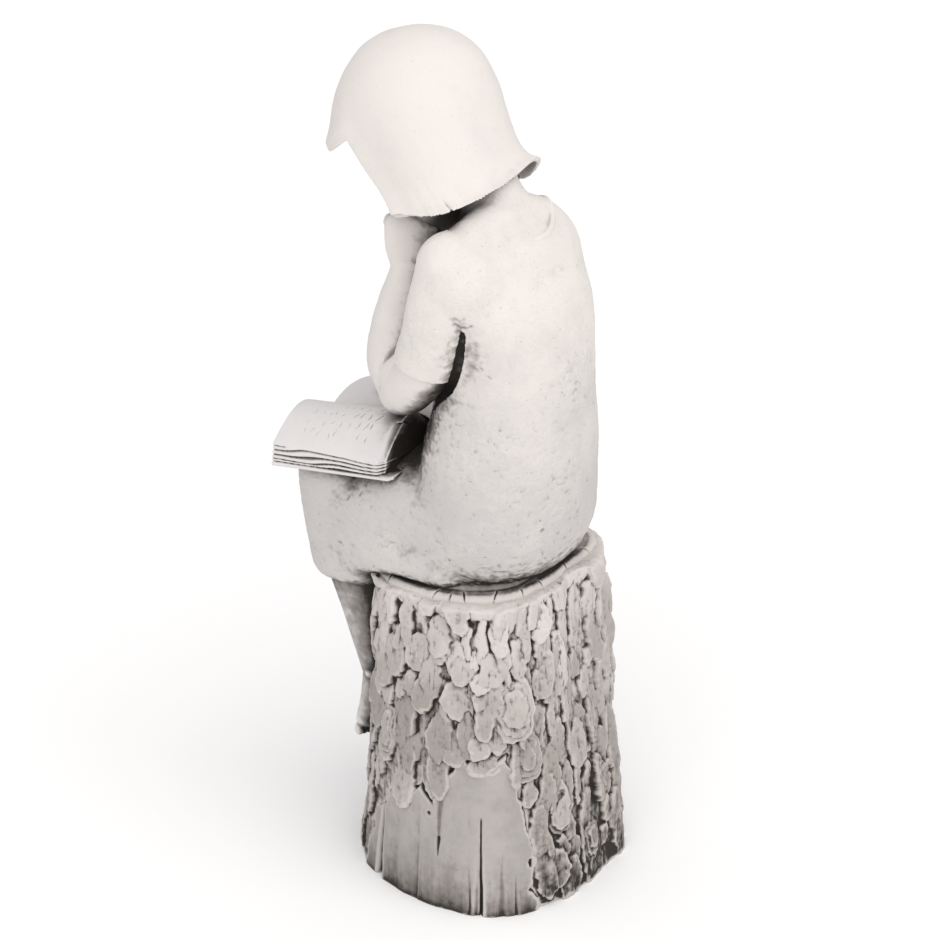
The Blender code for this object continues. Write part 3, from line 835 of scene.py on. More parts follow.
stump = {
    "topRadius": 0.107,
    "baseRadius": 0.126,
    "rimSlope": (-0.023, 0.033),    # the sawn top rises towards her right and back
    # angle, how far it stands out as a share of the radius, how much more at the top, width
    "lobes": ((38, 0.07, 0, 18), (94, -0.07, -0.08, 28), (142, 0.08, 0, 24), (-12, -0.03, 0, 24),
              (200, 0.03, 0, 22), (245, -0.04, 0, 24), (272, 0, -0.06, 30), (315, 0.02, 0, 18)),
    "bareTop": ((-42, 0), (-34, 0.06), (-22, 0.10), (-14, 0.085), (0, 0.115), (9, 0.10), (20, 0.160),
                (30, 0.140), (44, 0.160), (52, 0.10), (57, 0), (198, 0), (212, 0.08), (225, 0.12),
                (240, 0.07), (252, 0)),     # angle, and height up to which the wood is bare
    "trimLevels": (0.0, 0.10, 0.20, 0.305),
    # angle, and millimetres to add at each of the trim levels
    "trim": ((-60, (-2, -3, 0, 4)), (-49, (-2, -4, 0, 5)), (-30, (-4, -4, 0, 3)), (-12, (-3, -2, 0, 0)),
             (10, (-3, -1, 0, -1)), (35, (-5, -2, -1, -3)), (58, (-3, -1, -2, -5)), (80, (-1, 0, -3, -8)),
             (105, (-1, 0, -2, -6)), (118, (3, 2, 0, -4)), (135, (0, 2, 2, -3)), (160, (0, 0, 0, 0)),
             (290, (0, 0, 0, 0)), (300, (-2, -3, 0, 4))),
    # angle and radius of the sawn wood inside the bark
    "disc": ((-60, 0.104), (-33, 0.103), (-17, 0.097), (-6, 0.094), (10, 0.0955), (22, 0.093), (40, 0.092),
             (53, 0.0895), (71, 0.079), (90, 0.0755), (107, 0.077), (125, 0.089), (139, 0.104), (155, 0.105),
             (185, 0.101), (230, 0.098), (270, 0.095), (300, 0.104)),
    "barkTop": 0.3062,
    "woodIn": 0.0036,           # bare wood lies this far inside the outline
    "coreIn": 0.0085,           # the trunk under the bark
    "rimRound": 0.0062,
    "noiseRadius": 0.12,        # where noise on the trunk is read
}


# Degrees from -60 up, as the tables above go round.
def fromSeam(angle):
    return (angle + 60) % 360 - 60


# How far the trunk leaves a plain taper, as a share of its radius, at angles in degrees.
def swell(angle, height):
    up = height / statue["seatHeight"]
    total = np.zeros_like(angle)
    for place, amount, more, width in stump["lobes"]:
        total += (amount + more * up) * np.exp(-(offAngle(angle, place) / width) ** 2)
    return total


def trunkRadius(angle, height):
    up = np.clip(height / statue["seatHeight"], 0, 1)
    taper = stump["topRadius"] + (stump["baseRadius"] - stump["topRadius"]) * (1 - up) ** 1.4
    places, amounts = zip(*stump["trim"])
    trim = 0
    for column, weights in zip(zip(*amounts), np.eye(len(stump["trimLevels"]))):
        added = np.interp(fromSeam(angle), places, [millimetres * 0.001 for millimetres in column])
        trim = trim + added * np.interp(height, stump["trimLevels"], weights)
    return taper * (1 + swell(angle, height)) + trim


# Radius of the sawn disc, and how far the top rises at a point.
def discRadius(angle):
    places, radii = zip(*stump["disc"])
    spread = np.linspace(-9, 9, 7)[:, None]       # the corners of the table are rounded off
    return np.interp(fromSeam(np.asarray(angle, float)[None] + spread), places, radii).mean(axis=0)


def topRise(x, y, height):
    slope = stump["rimSlope"][0] * x + stump["rimSlope"][1] * y
    return slope * np.clip(height / statue["seatHeight"], 0, 1) ** 3


# A ring round the trunk, which slopes with the sawn top.
def slopedRing(angles, radius, level):
    x, y = radius * np.cos(np.radians(angles)), radius * np.sin(np.radians(angles))
    return np.stack([x, y, level + topRise(x, y, level)], axis=1)


# Up to what height the bark has gone, at an angle in degrees.
def bareTop(angle, height):
    places, tops = zip(*stump["bareTop"])
    spots = onCylinder(angle, stump["noiseRadius"], height).reshape(-1, 3)
    wander = (3.4 * noiseAt(spots, 0.019, 64) + 1.6 * noiseAt(spots, 0.006, 65)).reshape(np.shape(angle))
    return np.interp(fromSeam(angle + wander), places, tops, left=0, right=0)


wood = {
    "columns": 620,
    "rowHeight": 0.0012,
    # angle, wide end, narrow end, half-width at the wide end in metres, depth
    "cracks": ((31.5, 0.0, 0.114, 0.0009, 0.0060), (30.5, -0.01, 0.080, 0.0040, 0.0022),
               (-28, -0.01, 0.104, 0.0044, 0.0140), (40.5, -0.02, 0.066, 0.0034, 0.0011),
               (46.5, -0.01, 0.050, 0.0010, 0.0013), (26.5, 0.0, 0.058, 0.0007, 0.0012),
               (10.5, 0.130, 0.052, 0.0046, 0.0026), (10.5, 0.074, 0.052, 0.0022, 0.0024),
               (1.0, 0.0, 0.046, 0.0040, 0.0005), (-16, 0.0, 0.10, 0.0060, 0.0006),
               (222, 0.0, 0.07, 0.002, 0.006)),
    "crackRadius": 0.122, "knotRadius": 0.117,      # where their widths are measured
    "knots": ((5.0, 0.094, 0.0036), (228, 0.05, 0.004)),    # angle, height, radius
    "edgeRise": 0.0030,         # the sawn edge over the seat
    "middleRise": 0.0090,       # the wood meets the underside of the dress
    # inset from the rim, rise, width
    "rings": ((0.0080, 0.0004, 0.0018), (0.0118, -0.0009, 0.0008), (0.0150, 0.0003, 0.0014),
              (0.0192, -0.0007, 0.0007), (0.0268, -0.0005, 0.0008), (0.0350, -0.0004, 0.0008)),
    "rimCrackDepth": 0.0026, "rimCrackWidth": 0.0007,
    "rimCracks": (-62, -31, 1.5, 12, 21, 37, 55, 72, 101, 127, 149, 171, 204, 236, 262, 289, 316),
}


# Slow hollows, grain, cracks and knots of the bare wood, as metres to add to its radius.
def woodRelief(angle, height):
    plain = np.stack([np.radians(angle) * stump["noiseRadius"], height, np.zeros_like(angle)], axis=1)
    grain = plain * (1, 0.14, 1)        # drawn out up the trunk
    relief = 0.0014 * noiseAt(grain, 0.017, 51) + 0.00025 * noiseAt(grain, 0.0055, 52)
    relief += 0.00008 * noiseAt(grain, 0.0019, 53)
    relief += 0.00018 * layeredNoise(plain, 0.006, 54)
    for place, low, high, half, depth in wood["cracks"]:
        wander = 0.0011 * noiseAt(np.stack([height, height * 0, height * 0 + place], axis=1), 0.016, 55)
        aside = offAngle(angle, place) * math.pi / 180 * wood["crackRadius"] + wander
        opening = np.clip((high - height) / (high - low), 0, 1)
        width = half * opening ** 0.8 + 0.0003
        foot, tip = min(low, high), max(low, high)
        inside = stepBetween(height, foot - 0.002, foot + 0.002) * stepBetween(tip - height, 0, 0.004)
        relief -= inside * depth * opening ** 0.4 * np.exp(-np.abs(aside / width) ** 3)
    for place, level, size in wood["knots"]:
        away = np.hypot(offAngle(angle, place) * math.pi / 180 * wood["knotRadius"], height - level)
        relief += 0.0010 * np.exp(-((away - size) / 0.0013) ** 2) - 0.0022 * np.exp(-(away / (size * 0.5)) ** 2)
    return relief


# Growth rings and small cracks of the sawn top, at insets from its rim.
def topRelief(angle, inset):
    around = onCylinder(angle, 0.1, inset)
    drift = inset + 0.0016 * noiseAt(around, (0.045, 0.045, 0.03), 57) * stepBetween(inset, 0.006, 0.016)
    clear = 0.35 + 0.65 * stepBetween(noiseAt(around, (0.03, 0.03, 0.006), 58), -0.4, 0.3)
    relief = sum(rise * clear * np.exp(-((drift - place) / width) ** 2) for place, rise, width in wood["rings"])
    for number, place in enumerate(wood["rimCracks"]):
        lean = 2.5 * math.sin(number * 2.1)
        aside = offAngle(angle - place + lean * inset / 0.01) * math.pi / 180 * 0.1
        reach = stepBetween(0.0105 + 0.003 * math.sin(number * 1.7) - inset, 0, 0.003)
        relief = relief - wood["rimCrackDepth"] * reach * np.exp(-(aside / wood["rimCrackWidth"]) ** 2)
    relief = relief + wood["middleRise"] * stepBetween(inset, 0.007, 0.021)
    return relief + 0.0004 * layeredNoise(around, 0.011, 56)


def makeWood():
    angles = np.linspace(0, 360, wood["columns"], endpoint=False)
    edgeTop = statue["seatHeight"] + wood["edgeRise"]
    disc = discRadius(angles)
    rings = []
    for height in np.arange(0, edgeTop - stump["rimRound"], wood["rowHeight"]):
        level = np.full_like(angles, height)
        outline = trunkRadius(angles, level)
        uncovered = bareTop(angles, level)
        bare = stepBetween(uncovered + 0.006 - level, 0, 0.004) * stepBetween(uncovered, 0, 0.01)
        out = stump["coreIn"] - stump["woodIn"] + woodRelief(angles, level)
        skin = outline - stump["coreIn"] + out * bare
        toTop = stepBetween(level, stump["barkTop"] - 0.016, stump["barkTop"] - 0.006)
        rings.append(slopedRing(angles, skin + (disc - skin) * toTop, level))
    insets = [stump["rimRound"] * (1 - math.cos(turn)) for turn in np.linspace(0.2, math.pi / 2, 7)]
    insets += list(np.arange(stump["rimRound"] + 0.0006, 0.045, 0.0008)) + [0.05, 0.058, 0.066]
    for inset in insets:
        corner = min(1.0, inset / stump["rimRound"])
        drop = stump["rimRound"] * (1 - math.sqrt(1 - (1 - corner) ** 2))
        level = edgeTop - drop + topRelief(angles, np.full_like(angles, inset))
        rings.append(slopedRing(angles, disc * (1 - inset / disc.mean()), level))
    whole = skinRings("stumpWood", rings)
    return thinTo(whole, statue["budget"]["wood"])


bark = {
    "guideIn": 0.0052,          # the ground that the plates grow from
    "sunk": 0.012,              # how deep the ground lies where the wood is bare
    "lip": 0.0022,              # how far it comes out at its upper edge
    "spacing": 0.0128,
    "stretch": 2.0,             # plates stand further apart up the trunk than round it
    "crowding": 8000.0,
    "seed": 5,
    "scale": (0.70, 1.26),
    "relief": 1.45,             # how many times as proud the felt plates are made
    "tilt": 0.085,              # tips stand proud, tops are sunk
    "rimRadius": 0.108,         # where the slope of its upper edge is read
    "guideColumns": 300, "guideRows": 120,
    "columns": 840, "rows": 340,
    "noiseRadius": 0.11,        # where its noise is read
    "feelFrom": 0.22,           # radius from which the plates are felt
    "warp": 0.0022, "warpSize": 0.012,
    "edgeWarp": 0.0018, "edgeWarpSize": 0.0046,
    "striation": 0.00060,
    "roughness": 0.00042,
    "unevenness": 0.0014,
}

# Width and length in metres, how pointed the tip is, raggedness, tiers of inset and height in metres
plateKinds = {
    "longTongue": (0.020, 0.050, 0.20, 0.08, ((1.0, -0.006), (1.0, 0.0010), (0.93, 0.0019), (0.70, 0.0022))),
    "broadPlate": (0.026, 0.040, 0.05, 0.09, ((1.0, -0.006), (1.0, 0.0012), (0.94, 0.0020), (0.70, 0.0021))),
    "narrowStrip": (0.013, 0.054, 0.15, 0.09, ((1.0, -0.006), (1.0, 0.0010), (0.90, 0.0021), (0.60, 0.0027))),
    "pointedTongue": (0.022, 0.046, 0.55, 0.09, ((1.0, -0.006), (1.0, 0.0010), (0.93, 0.0020), (0.70, 0.0023))),
    "smallScale": (0.015, 0.026, 0.10, 0.08, ((1.0, -0.006), (1.0, 0.0012), (0.92, 0.0021), (0.65, 0.0024))),
    "oysterShell": (0.030, 0.046, 0.12, 0.05, (
        (1.0, -0.006), (1.0, 0.0010), (0.95, 0.0018), (0.80, 0.0016), (0.79, 0.0028), (0.74, 0.0031),
        (0.57, 0.0026), (0.56, 0.0038), (0.50, 0.0041), (0.30, 0.0038))),
}

# The plates that tell most in the picture: kind, angle, height, width, length, proud
placedPlates = (
    ("broadPlate", 61.9, 0.284, 0.024, 0.036, 0.0016), ("longTongue", 39.5, 0.282, 0.018, 0.040, 0.0006),
    ("longTongue", 22.1, 0.247, 0.022, 0.036, 0.0014), ("smallScale", 31.6, 0.236, 0.020, 0.022, 0.0004),
    ("pointedTongue", 18.8, 0.214, 0.028, 0.044, 0.0010), ("broadPlate", -0.2, 0.211, 0.024, 0.038, 0.0010),
    ("oysterShell", -25.0, 0.160, 0.027, 0.064, 0.0010), ("longTongue", 63.6, 0.236, 0.024, 0.052, 0.0014),
    ("oysterShell", 52.5, 0.160, 0.030, 0.054, 0.0008), ("oysterShell", 109.0, 0.096, 0.030, 0.046, 0.0010),
    ("oysterShell", 107.0, 0.160, 0.028, 0.048, 0.0006), ("longTongue", 71.5, 0.098, 0.024, 0.052, 0.0012),
    ("oysterShell", 46.5, 0.210, 0.038, 0.066, 0.0016), ("broadPlate", 32.6, 0.197, 0.020, 0.036, 0.0020),
    ("smallScale", 30.6, 0.172, 0.020, 0.026, 0.0014), ("broadPlate", 32.0, 0.152, 0.031, 0.021, -0.0002),
    ("pointedTongue", 10.4, 0.138, 0.026, 0.056, 0.0014), ("longTongue", -11.3, 0.118, 0.027, 0.070, 0.0010),
    ("longTongue", 7.9, 0.276, 0.020, 0.050, 0.0004), ("narrowStrip", 77.0, 0.236, 0.022, 0.058, 0.0008),
    ("oysterShell", 96.0, 0.042, 0.032, 0.044, 0.0004), ("broadPlate", 69.0, 0.034, 0.026, 0.040, 0.0010),
    ("longTongue", 89.0, 0.146, 0.026, 0.054, 0.0010),
)


# A plate lies with its length along Y, tip at -Y, and stands out along +Z.
def makePlate(name, width, length, pointed, ragged, tiers):
    chance = np.random.default_rng(len(name) * 7 + int(width * 10000))
    turns = np.linspace(0, 2 * math.pi, 12, endpoint=False)
    uneven = 1 + ragged * chance.uniform(-1, 1, len(turns))
    rounded = 2 / 2.7
    x = signedPower(np.cos(turns), rounded) * uneven
    y = signedPower(np.sin(turns), rounded) * uneven
    x = x * (1 - pointed * np.clip(-y, 0, 1) ** 1.5) * (1 - 0.18 * np.clip(y, 0, 1))
    rings = []
    for inset, rise in tiers:
        px, py = x * inset * width / 2, (y * inset + 0.16 * (1 - inset)) * length / 2
        rings.append(np.stack([px, py, rise - bark["tilt"] * py], axis=1))
    return skinRings(name, rings)


# Where a plate stands on the trunk: across, up and out become the axes of its frame.
def onTrunk(angle, height, proud, scaleX, scaleY):
    turn = math.radians(angle)
    radius = float(trunkRadius(np.array([float(angle)]), np.array([float(height)]))[0])
    radius = radius - bark["guideIn"] + proud
    out = Vector((math.cos(turn), math.sin(turn), 0.06)).normalized()
    across = Vector((-math.sin(turn), math.cos(turn), 0))
    up = out.cross(across)
    matrix = Matrix((across * scaleX, up * scaleY, out)).transposed().to_4x4()
    return Matrix.Translation((radius * math.cos(turn), radius * math.sin(turn), height)) @ matrix


# The bark's ground, which sinks out of sight where the wood is bare.
def groundRadius(angle, height):
    uncovered = bareTop(angle, height)
    sunk = bark["sunk"] * stepBetween(uncovered - height, -0.008, 0.004) * stepBetween(uncovered, 0, 0.01)
    lip = bark["lip"] * stepBetween(height, 0.292, 0.302)
    return trunkRadius(angle, height) - bark["guideIn"] - sunk + lip


def makeGuide():
    angles = np.linspace(0, 360, bark["guideColumns"], endpoint=False)
    rings = [slopedRing(angles, groundRadius(angles, np.full_like(angles, height)), height)
             for height in np.linspace(0, stump["barkTop"] + 0.008, bark["guideRows"])]
    return skinRings("barkGround", rings)


# Geometry Nodes: plates of mixed kinds, set apart from each other, upright and facing out, each with
# a tone of its own.
def plateTree():
    tree = bpy.data.node_groups.new("barkPlates", "GeometryNodeTree")
    tree.is_modifier = True
    sockets = (("Geometry", "Geometry"), ("Plate Kinds", "Collection"), ("Spacing", "Float"),
               ("Squash", "Vector"), ("Stretch", "Vector"), ("Crowding", "Float"), ("Smallest", "Float"),
               ("Largest", "Float"), ("Seed", "Int"), ("Stone", "Material"))
    for name, kind in sockets:
        tree.interface.new_socket(name, in_out="INPUT", socket_type="NodeSocket" + kind)
    tree.interface.new_socket("Geometry", in_out="OUTPUT", socket_type="NodeSocketGeometry")
    given = addNode(tree, "NodeGroupInput").outputs
    seed = given["Seed"]

    cover = addNode(tree, "GeometryNodeInputNamedAttribute", {"Name": "barkCover"}, data_type="FLOAT")
    squash = addNode(tree, "GeometryNodeTransform", {"Geometry": given["Geometry"], "Scale": given["Squash"]})
    around = {"Mesh": squash.outputs["Geometry"], "Distance Min": given["Spacing"],
              "Density Max": given["Crowding"], "Density Factor": cover.outputs["Attribute"], "Seed": seed}
    spread = addNode(tree, "GeometryNodeDistributePointsOnFaces", around, distribute_method="POISSON")
    where = addNode(tree, "GeometryNodeInputPosition").outputs["Position"]
    drawn = addNode(tree, "ShaderNodeVectorMath", {0: where, 1: given["Stretch"]}, operation="MULTIPLY")
    stretch = addNode(tree, "GeometryNodeSetPosition",
                      {"Geometry": spread.outputs["Points"], "Position": drawn.outputs["Vector"]})

    # upright and facing out, with a little lean
    flat = {0: spread.outputs["Normal"], 1: (1, 1, 0)}
    level = addNode(tree, "ShaderNodeVectorMath", flat, operation="MULTIPLY").outputs["Vector"]
    outward = addNode(tree, "FunctionNodeAlignRotationToVector", {"Vector": level}, axis="Z")
    toUp = {"Rotation": outward.outputs["Rotation"], "Vector": (0, 0, 1)}
    upright = addNode(tree, "FunctionNodeAlignRotationToVector", toUp, axis="Y", pivot_axis="Z")
    leaning = {"Min": (-0.05, -0.09, -0.16), "Max": (0.05, 0.09, 0.16), "Seed": seed}
    lean = addNode(tree, "FunctionNodeRandomValue", leaning, data_type="FLOAT_VECTOR")
    toTurn = addNode(tree, "FunctionNodeEulerToRotation", {"Euler": lean.outputs["Value"]})
    turning = {"Rotation": upright.outputs["Rotation"], "Rotate By": toTurn.outputs["Rotation"]}
    turned = addNode(tree, "FunctionNodeRotateRotation", turning, rotation_space="LOCAL")

    sizes = {2: given["Smallest"], 3: given["Largest"], "Seed": seed}
    size = addNode(tree, "FunctionNodeRandomValue", sizes, data_type="FLOAT").outputs[1]
    kinds = addNode(tree, "GeometryNodeCollectionInfo",
                    {"Collection": given["Plate Kinds"], "Separate Children": True, "Reset Children": True})
    placing = {"Points": stretch.outputs["Geometry"], "Instance": kinds.outputs["Instances"],
               "Pick Instance": True, "Rotation": turned.outputs["Rotation"], "Scale": size}
    place = addNode(tree, "GeometryNodeInstanceOnPoints", placing)
    anyTone = addNode(tree, "FunctionNodeRandomValue", {"Seed": seed}, data_type="FLOAT").outputs[1]
    toned = {"Geometry": place.outputs["Instances"], "Name": "plateTone", "Value": anyTone}
    tone = addNode(tree, "GeometryNodeStoreNamedAttribute", toned, data_type="FLOAT", domain="INSTANCE")
    real = addNode(tree, "GeometryNodeRealizeInstances", {"Geometry": tone.outputs["Geometry"]})
    finish = addNode(tree, "GeometryNodeSetMaterial",
                     {"Geometry": real.outputs["Geometry"], "Material": given["Stone"]})
    addNode(tree, "NodeGroupOutput", {"Geometry": finish.outputs["Geometry"]})
    return tree


def socketId(tree, name):
    sockets = [item for item in tree.interface.items_tree if item.in_out == "INPUT"]
    return next(item.identifier for item in sockets if item.name == name)


def scatterPlates(ground, stone):
    kinds = bpy.data.collections.new("plateKinds")
    samples = []
    for name, shape in plateKinds.items():
        if name == "oysterShell":
            continue
        sample = makePlate(name, *shape)
        bpy.context.scene.collection.objects.unlink(sample)
        kinds.objects.link(sample)
        samples.append(sample)
    points = readPoints(ground)
    angle = np.degrees(np.arctan2(points[:, 1], points[:, 0]))
    radius = np.hypot(points[:, 0], points[:, 1])
    onOutside = radius > groundRadius(angle, points[:, 2]) - 0.002
    clear = stepBetween(points[:, 2] - bareTop(angle, points[:, 2]), 0.006, 0.013) * (points[:, 2] < 0.308)
    writeShade(ground, "barkCover", onOutside * clear)
    tree = plateTree()
    holder = linkObject("barkPlates", ground.data.copy())
    scatter = holder.modifiers.new("plates", "NODES")
    scatter.node_group = tree
    settings = {"Plate Kinds": kinds, "Spacing": bark["spacing"], "Squash": (1, 1, 1 / bark["stretch"]),
                "Stretch": (1, 1, bark["stretch"]), "Crowding": bark["crowding"], "Smallest": bark["scale"][0],
                "Largest": bark["scale"][1], "Seed": bark["seed"], "Stone": stone}
    for name, value in settings.items():
        scatter[socketId(tree, name)] = value
    settle(holder)
    for sample in samples:
        bpy.data.objects.remove(sample)
    bpy.data.collections.remove(kinds)
    return holder


def placePlates():
    forms = []
    for number, (kind, angle, height, width, length, proud) in enumerate(placedPlates):
        usualWidth, usualLength = plateKinds[kind][:2]
        plate = makePlate(kind, *plateKinds[kind])
        plate.data.transform(onTrunk(angle, height, proud, width / usualWidth, length / usualLength))
        writeShade(plate, "plateTone", np.full(len(plate.data.vertices), number * 0.37 % 1))
        forms.append(plate)
    return forms


# Feels the ground and the plates from outside, row by row, so the bark is one skin with crisp edges.
# What it feels is taken a little aside of each point, which makes the plates' outlines ragged.
def feelPlates(forms, angles, levels):
    bm = bmesh.new()
    for form in forms:
        bm.from_mesh(form.data)
        bpy.data.objects.remove(form)
    toneLayer = bm.verts.layers.float["plateTone"]
    tones = [face.verts[0][toneLayer] for face in bm.faces]
    surface = BVHTree.FromBMesh(bm)
    bm.free()
    points = onCylinder(angles, bark["noiseRadius"], levels).reshape(-1, 3)
    drift = [bark["warp"] * noiseAt(points, bark["warpSize"], seed)
             + bark["edgeWarp"] * noiseAt(points, bark["edgeWarpSize"], seed + 4) for seed in (71, 72)]
    turn = np.radians(angles).ravel() + drift[0] / 0.115
    low = np.maximum(levels.ravel() + drift[1], 0.0002)
    cosines, sines = np.cos(turn), np.sin(turn)
    radii, tone = np.zeros(len(turn)), np.zeros(len(turn))
    far = bark["feelFrom"]
    for index, (x, y, z) in enumerate(zip(cosines, sines, low)):
        hit, normal, face, distance = surface.ray_cast(Vector((x * far, y * far, z)), Vector((-x, -y, 0)))
        radii[index] = far - distance if hit else 0.0
        tone[index] = tones[face] if hit else 0.0
    degrees = np.degrees(turn)
    proud = np.maximum(radii, groundRadius(degrees, low)) - trunkRadius(degrees, low)
    return proud.reshape(angles.shape), tone.reshape(angles.shape)


def makeBark(stone):
    ground = makeGuide()
    plates = scatterPlates(ground, stone)
    print(f"bark plates: {len(plates.data.polygons)} faces")
    row = np.linspace(0, 360, bark["columns"], endpoint=False)
    across, along = np.cos(np.radians(row)), np.sin(np.radians(row))
    edge = onCylinder(row, 0.1, 0.0)
    top = stump["barkTop"] + 0.0008 * noiseAt(edge, 0.006, 61) + 0.0020 * noiseAt(edge, 0.024, 62)
    top = top + topRise(across * bark["rimRadius"], along * bark["rimRadius"], top)
    levels = np.linspace(0, 1, bark["rows"])[:, None] * top[None]
    angles = np.repeat(row[None], bark["rows"], 0)
    proud, tone = feelPlates([ground, plates] + placePlates(), angles, levels)
    beside = (np.roll(proud, 1, 1) + np.roll(proud, -1, 1)) / 2
    above = (np.vstack([proud[1:], proud[-1:]]) + np.vstack([proud[:1], proud[:-1]])) / 2
    proud = 0.6 * proud + 0.2 * beside + 0.2 * above
    covered = stepBetween(proud, -bark["guideIn"] - 0.003, -bark["guideIn"])
    more = (bark["relief"] - 1) * np.maximum(proud + bark["guideIn"], 0)
    proud = proud + covered * more - covered * 0.0010
    upright = np.stack([np.radians(angles) * bark["noiseRadius"] + tone * 0.7, levels * 0.13, tone * 3], axis=-1)
    upright = upright.reshape(-1, 3)     # drawn out up the trunk, and other for each plate
    furrows = 0.6 * noiseAt(upright, 0.0026, 77) + 0.6 * noiseAt(upright, 0.0050, 78)
    place = onCylinder(angles, bark["noiseRadius"], levels).reshape(-1, 3)
    detail = bark["striation"] * furrows * (0.3 + 0.7 * stepBetween(noiseAt(place, 0.02, 80), -0.5, 0.4))
    detail += bark["roughness"] * layeredNoise(place, 0.0034, 79, layers=2)
    detail += bark["unevenness"] * noiseAt(place + tone.reshape(-1, 1), (0.010, 0.010, 0.016), 81)
    outer = trunkRadius(angles, levels) + proud + detail.reshape(angles.shape)
    outer[-1] -= 0.0008
    rings = [onCylinder(row, radius, level) for radius, level in zip(outer, levels)]
    inside = discRadius(row) - 0.003
    for step in np.linspace(0, 1, 9)[1:]:
        radius = outer[-1] + (inside - outer[-1]) * step
        broken = 0.0007 * layeredNoise(onCylinder(row, radius, 0.0), 0.006, 63)
        rings.append(onCylinder(row, radius, top + 0.0014 * math.sin(math.pi * step) + broken))
    for step in np.linspace(0.95, 0, 12):
        level = top * step
        radius = groundRadius(row, level) - stump["coreIn"] - 0.004
        radius = radius + (inside - radius) * stepBetween(level, 0.27, 0.295)
        rings.append(onCylinder(row, radius, level))
    whole = linkRings("stumpBark", rings)
    filler = np.zeros((len(rings) - bark["rows"]) * bark["columns"])
    writeShade(whole, "plateTone", np.concatenate([tone.ravel(), filler + 0.5]))
    return thinTo(whole, statue["budget"]["bark"])


# How sheltered each point is: from its own hollows, and from the mass of stone about it. The stone is darkened by it:
# patina in the hollows, and painted shade in them, between parts and under overhangs.

shelter = {
    "nearCell": 0.0022, "nearReach": 0.0048,
    "farCell": 0.0060, "farReach": 0.022,
    "nearBlur": 2, "farBlur": 4,        # cells to each side
    "cavityRounds": 10,
    # painted shade on faces that look down
    "underside": 0.24,
    # spots of painted shade, with some patina, where parts shadow each other, as beside the elbow, behind the book and
    # on the calf: centre and reach in shares from the seat, how dark
    "shadeAndGrime": ((72, -8, 196, 21, 0.48), (82, 32, 234, 18, 0.20), (64, -24, 150, 20, 0.45),
              (56, -44, 118, 24, 0.40), (90, -96, 80, 16, 0.14), (52, -146, -24, 26, 0.34),
              (40, -20, 330, 22, 0.20), (-60, -40, 120, 34, 0.40)),
}


# One where stone is and zero elsewhere, on a grid of the given cell, filled column by column.
def solidGrid(pieces, cell):
    low = np.array(solidLow) - 0.04
    high = np.array(solidHigh) + 0.04
    counts = np.ceil((high - low) / cell).astype(int)
    solid = np.zeros(counts, np.float32)
    graph = bpy.context.evaluated_depsgraph_get()
    down = Vector((0, 0, -1))
    for piece in pieces:
        surface = BVHTree.FromObject(piece, graph)
        box = readPoints(piece)
        first = np.floor((box.min(0) - low) / cell).astype(int)
        last = np.ceil((box.max(0) - low) / cell).astype(int)
        for i in range(first[0], last[0] + 1):
            for j in range(first[1], last[1] + 1):
                x, y = low[0] + (i + 0.5) * cell, low[1] + (j + 0.5) * cell
                start, entered = Vector((x, y, high[2])), None
                while True:
                    hit, normal, index, distance = surface.ray_cast(start, down)
                    if hit is None:
                        break
                    if normal.z > 0:
                        entered = hit.z if entered is None else entered
                    elif entered is not None:
                        bottom = max(0, round((hit.z - low[2]) / cell))
                        solid[i, j, bottom:round((entered - low[2]) / cell)] = 1
                        entered = None
                    start = hit - Vector((0, 0, 1e-5))
    solid[:, :, :round(-low[2] / cell)] = 1
    return solid, low


def blurred(grid, cells):
    for axis in range(3):
        for turn in range(2):
            before = np.repeat(np.take(grid, [0], axis), cells + 1, axis)
            after = np.repeat(np.take(grid, [-1], axis), cells, axis)
            sums = np.cumsum(np.concatenate([before, grid, after], axis), axis, dtype=np.float64)
            size = 2 * cells + 1
            upper = np.take(sums, range(size, sums.shape[axis]), axis)
            lower = np.take(sums, range(0, sums.shape[axis] - size), axis)
            grid = ((upper - lower) / size).astype(np.float32)
    return grid


def sampleGrid(grid, low, cell, points):
    scaled = np.clip((points - low) / cell - 0.5, 0, np.array(grid.shape) - 1.001)
    cells = np.floor(scaled).astype(int)
    return blendCorners(grid, cells, scaled - cells)


# How far each point lies under the smoothed surface about it, in millimetres.
def cavityOf(piece, rounds):
    points, normals = readPoints(piece), readNormals(piece)
    soft = relax(piece, rounds, 1.0)
    writePoints(piece, points)
    return np.einsum("ij,ij->i", soft - points, normals) * 1000


def shadePieces(pieces):
    cell = shelter["nearCell"]
    solid, low = solidGrid(pieces, cell)
    near = blurred(solid, shelter["nearBlur"])
    step = round(shelter["farCell"] / cell)
    far = blurred(solid[::step, ::step, ::step], shelter["farBlur"])
    for piece in pieces:
        points, normals = readPoints(piece), readNormals(piece)
        writeShade(piece, "nearShelter", sampleGrid(near, low, cell, points + normals * shelter["nearReach"]))
        around = sampleGrid(far, low, cell * step, points + normals * shelter["farReach"])
        # painted shade: faces that look down and the listed spots are darkened too
        around = around + shelter["underside"] * stepBetween(-normals[:, 2], 0.15, 0.95)
        for x, y, z, reach, amount in shelter["shadeAndGrime"]:
            away = np.linalg.norm(points - onSeat((x, y, z)), axis=1)
            around = around + amount * np.exp(-(away / (reach * share)) ** 2)
        writeShade(piece, "farShelter", around)
        writeShade(piece, "cavity", cavityOf(piece, shelter["cavityRounds"]))
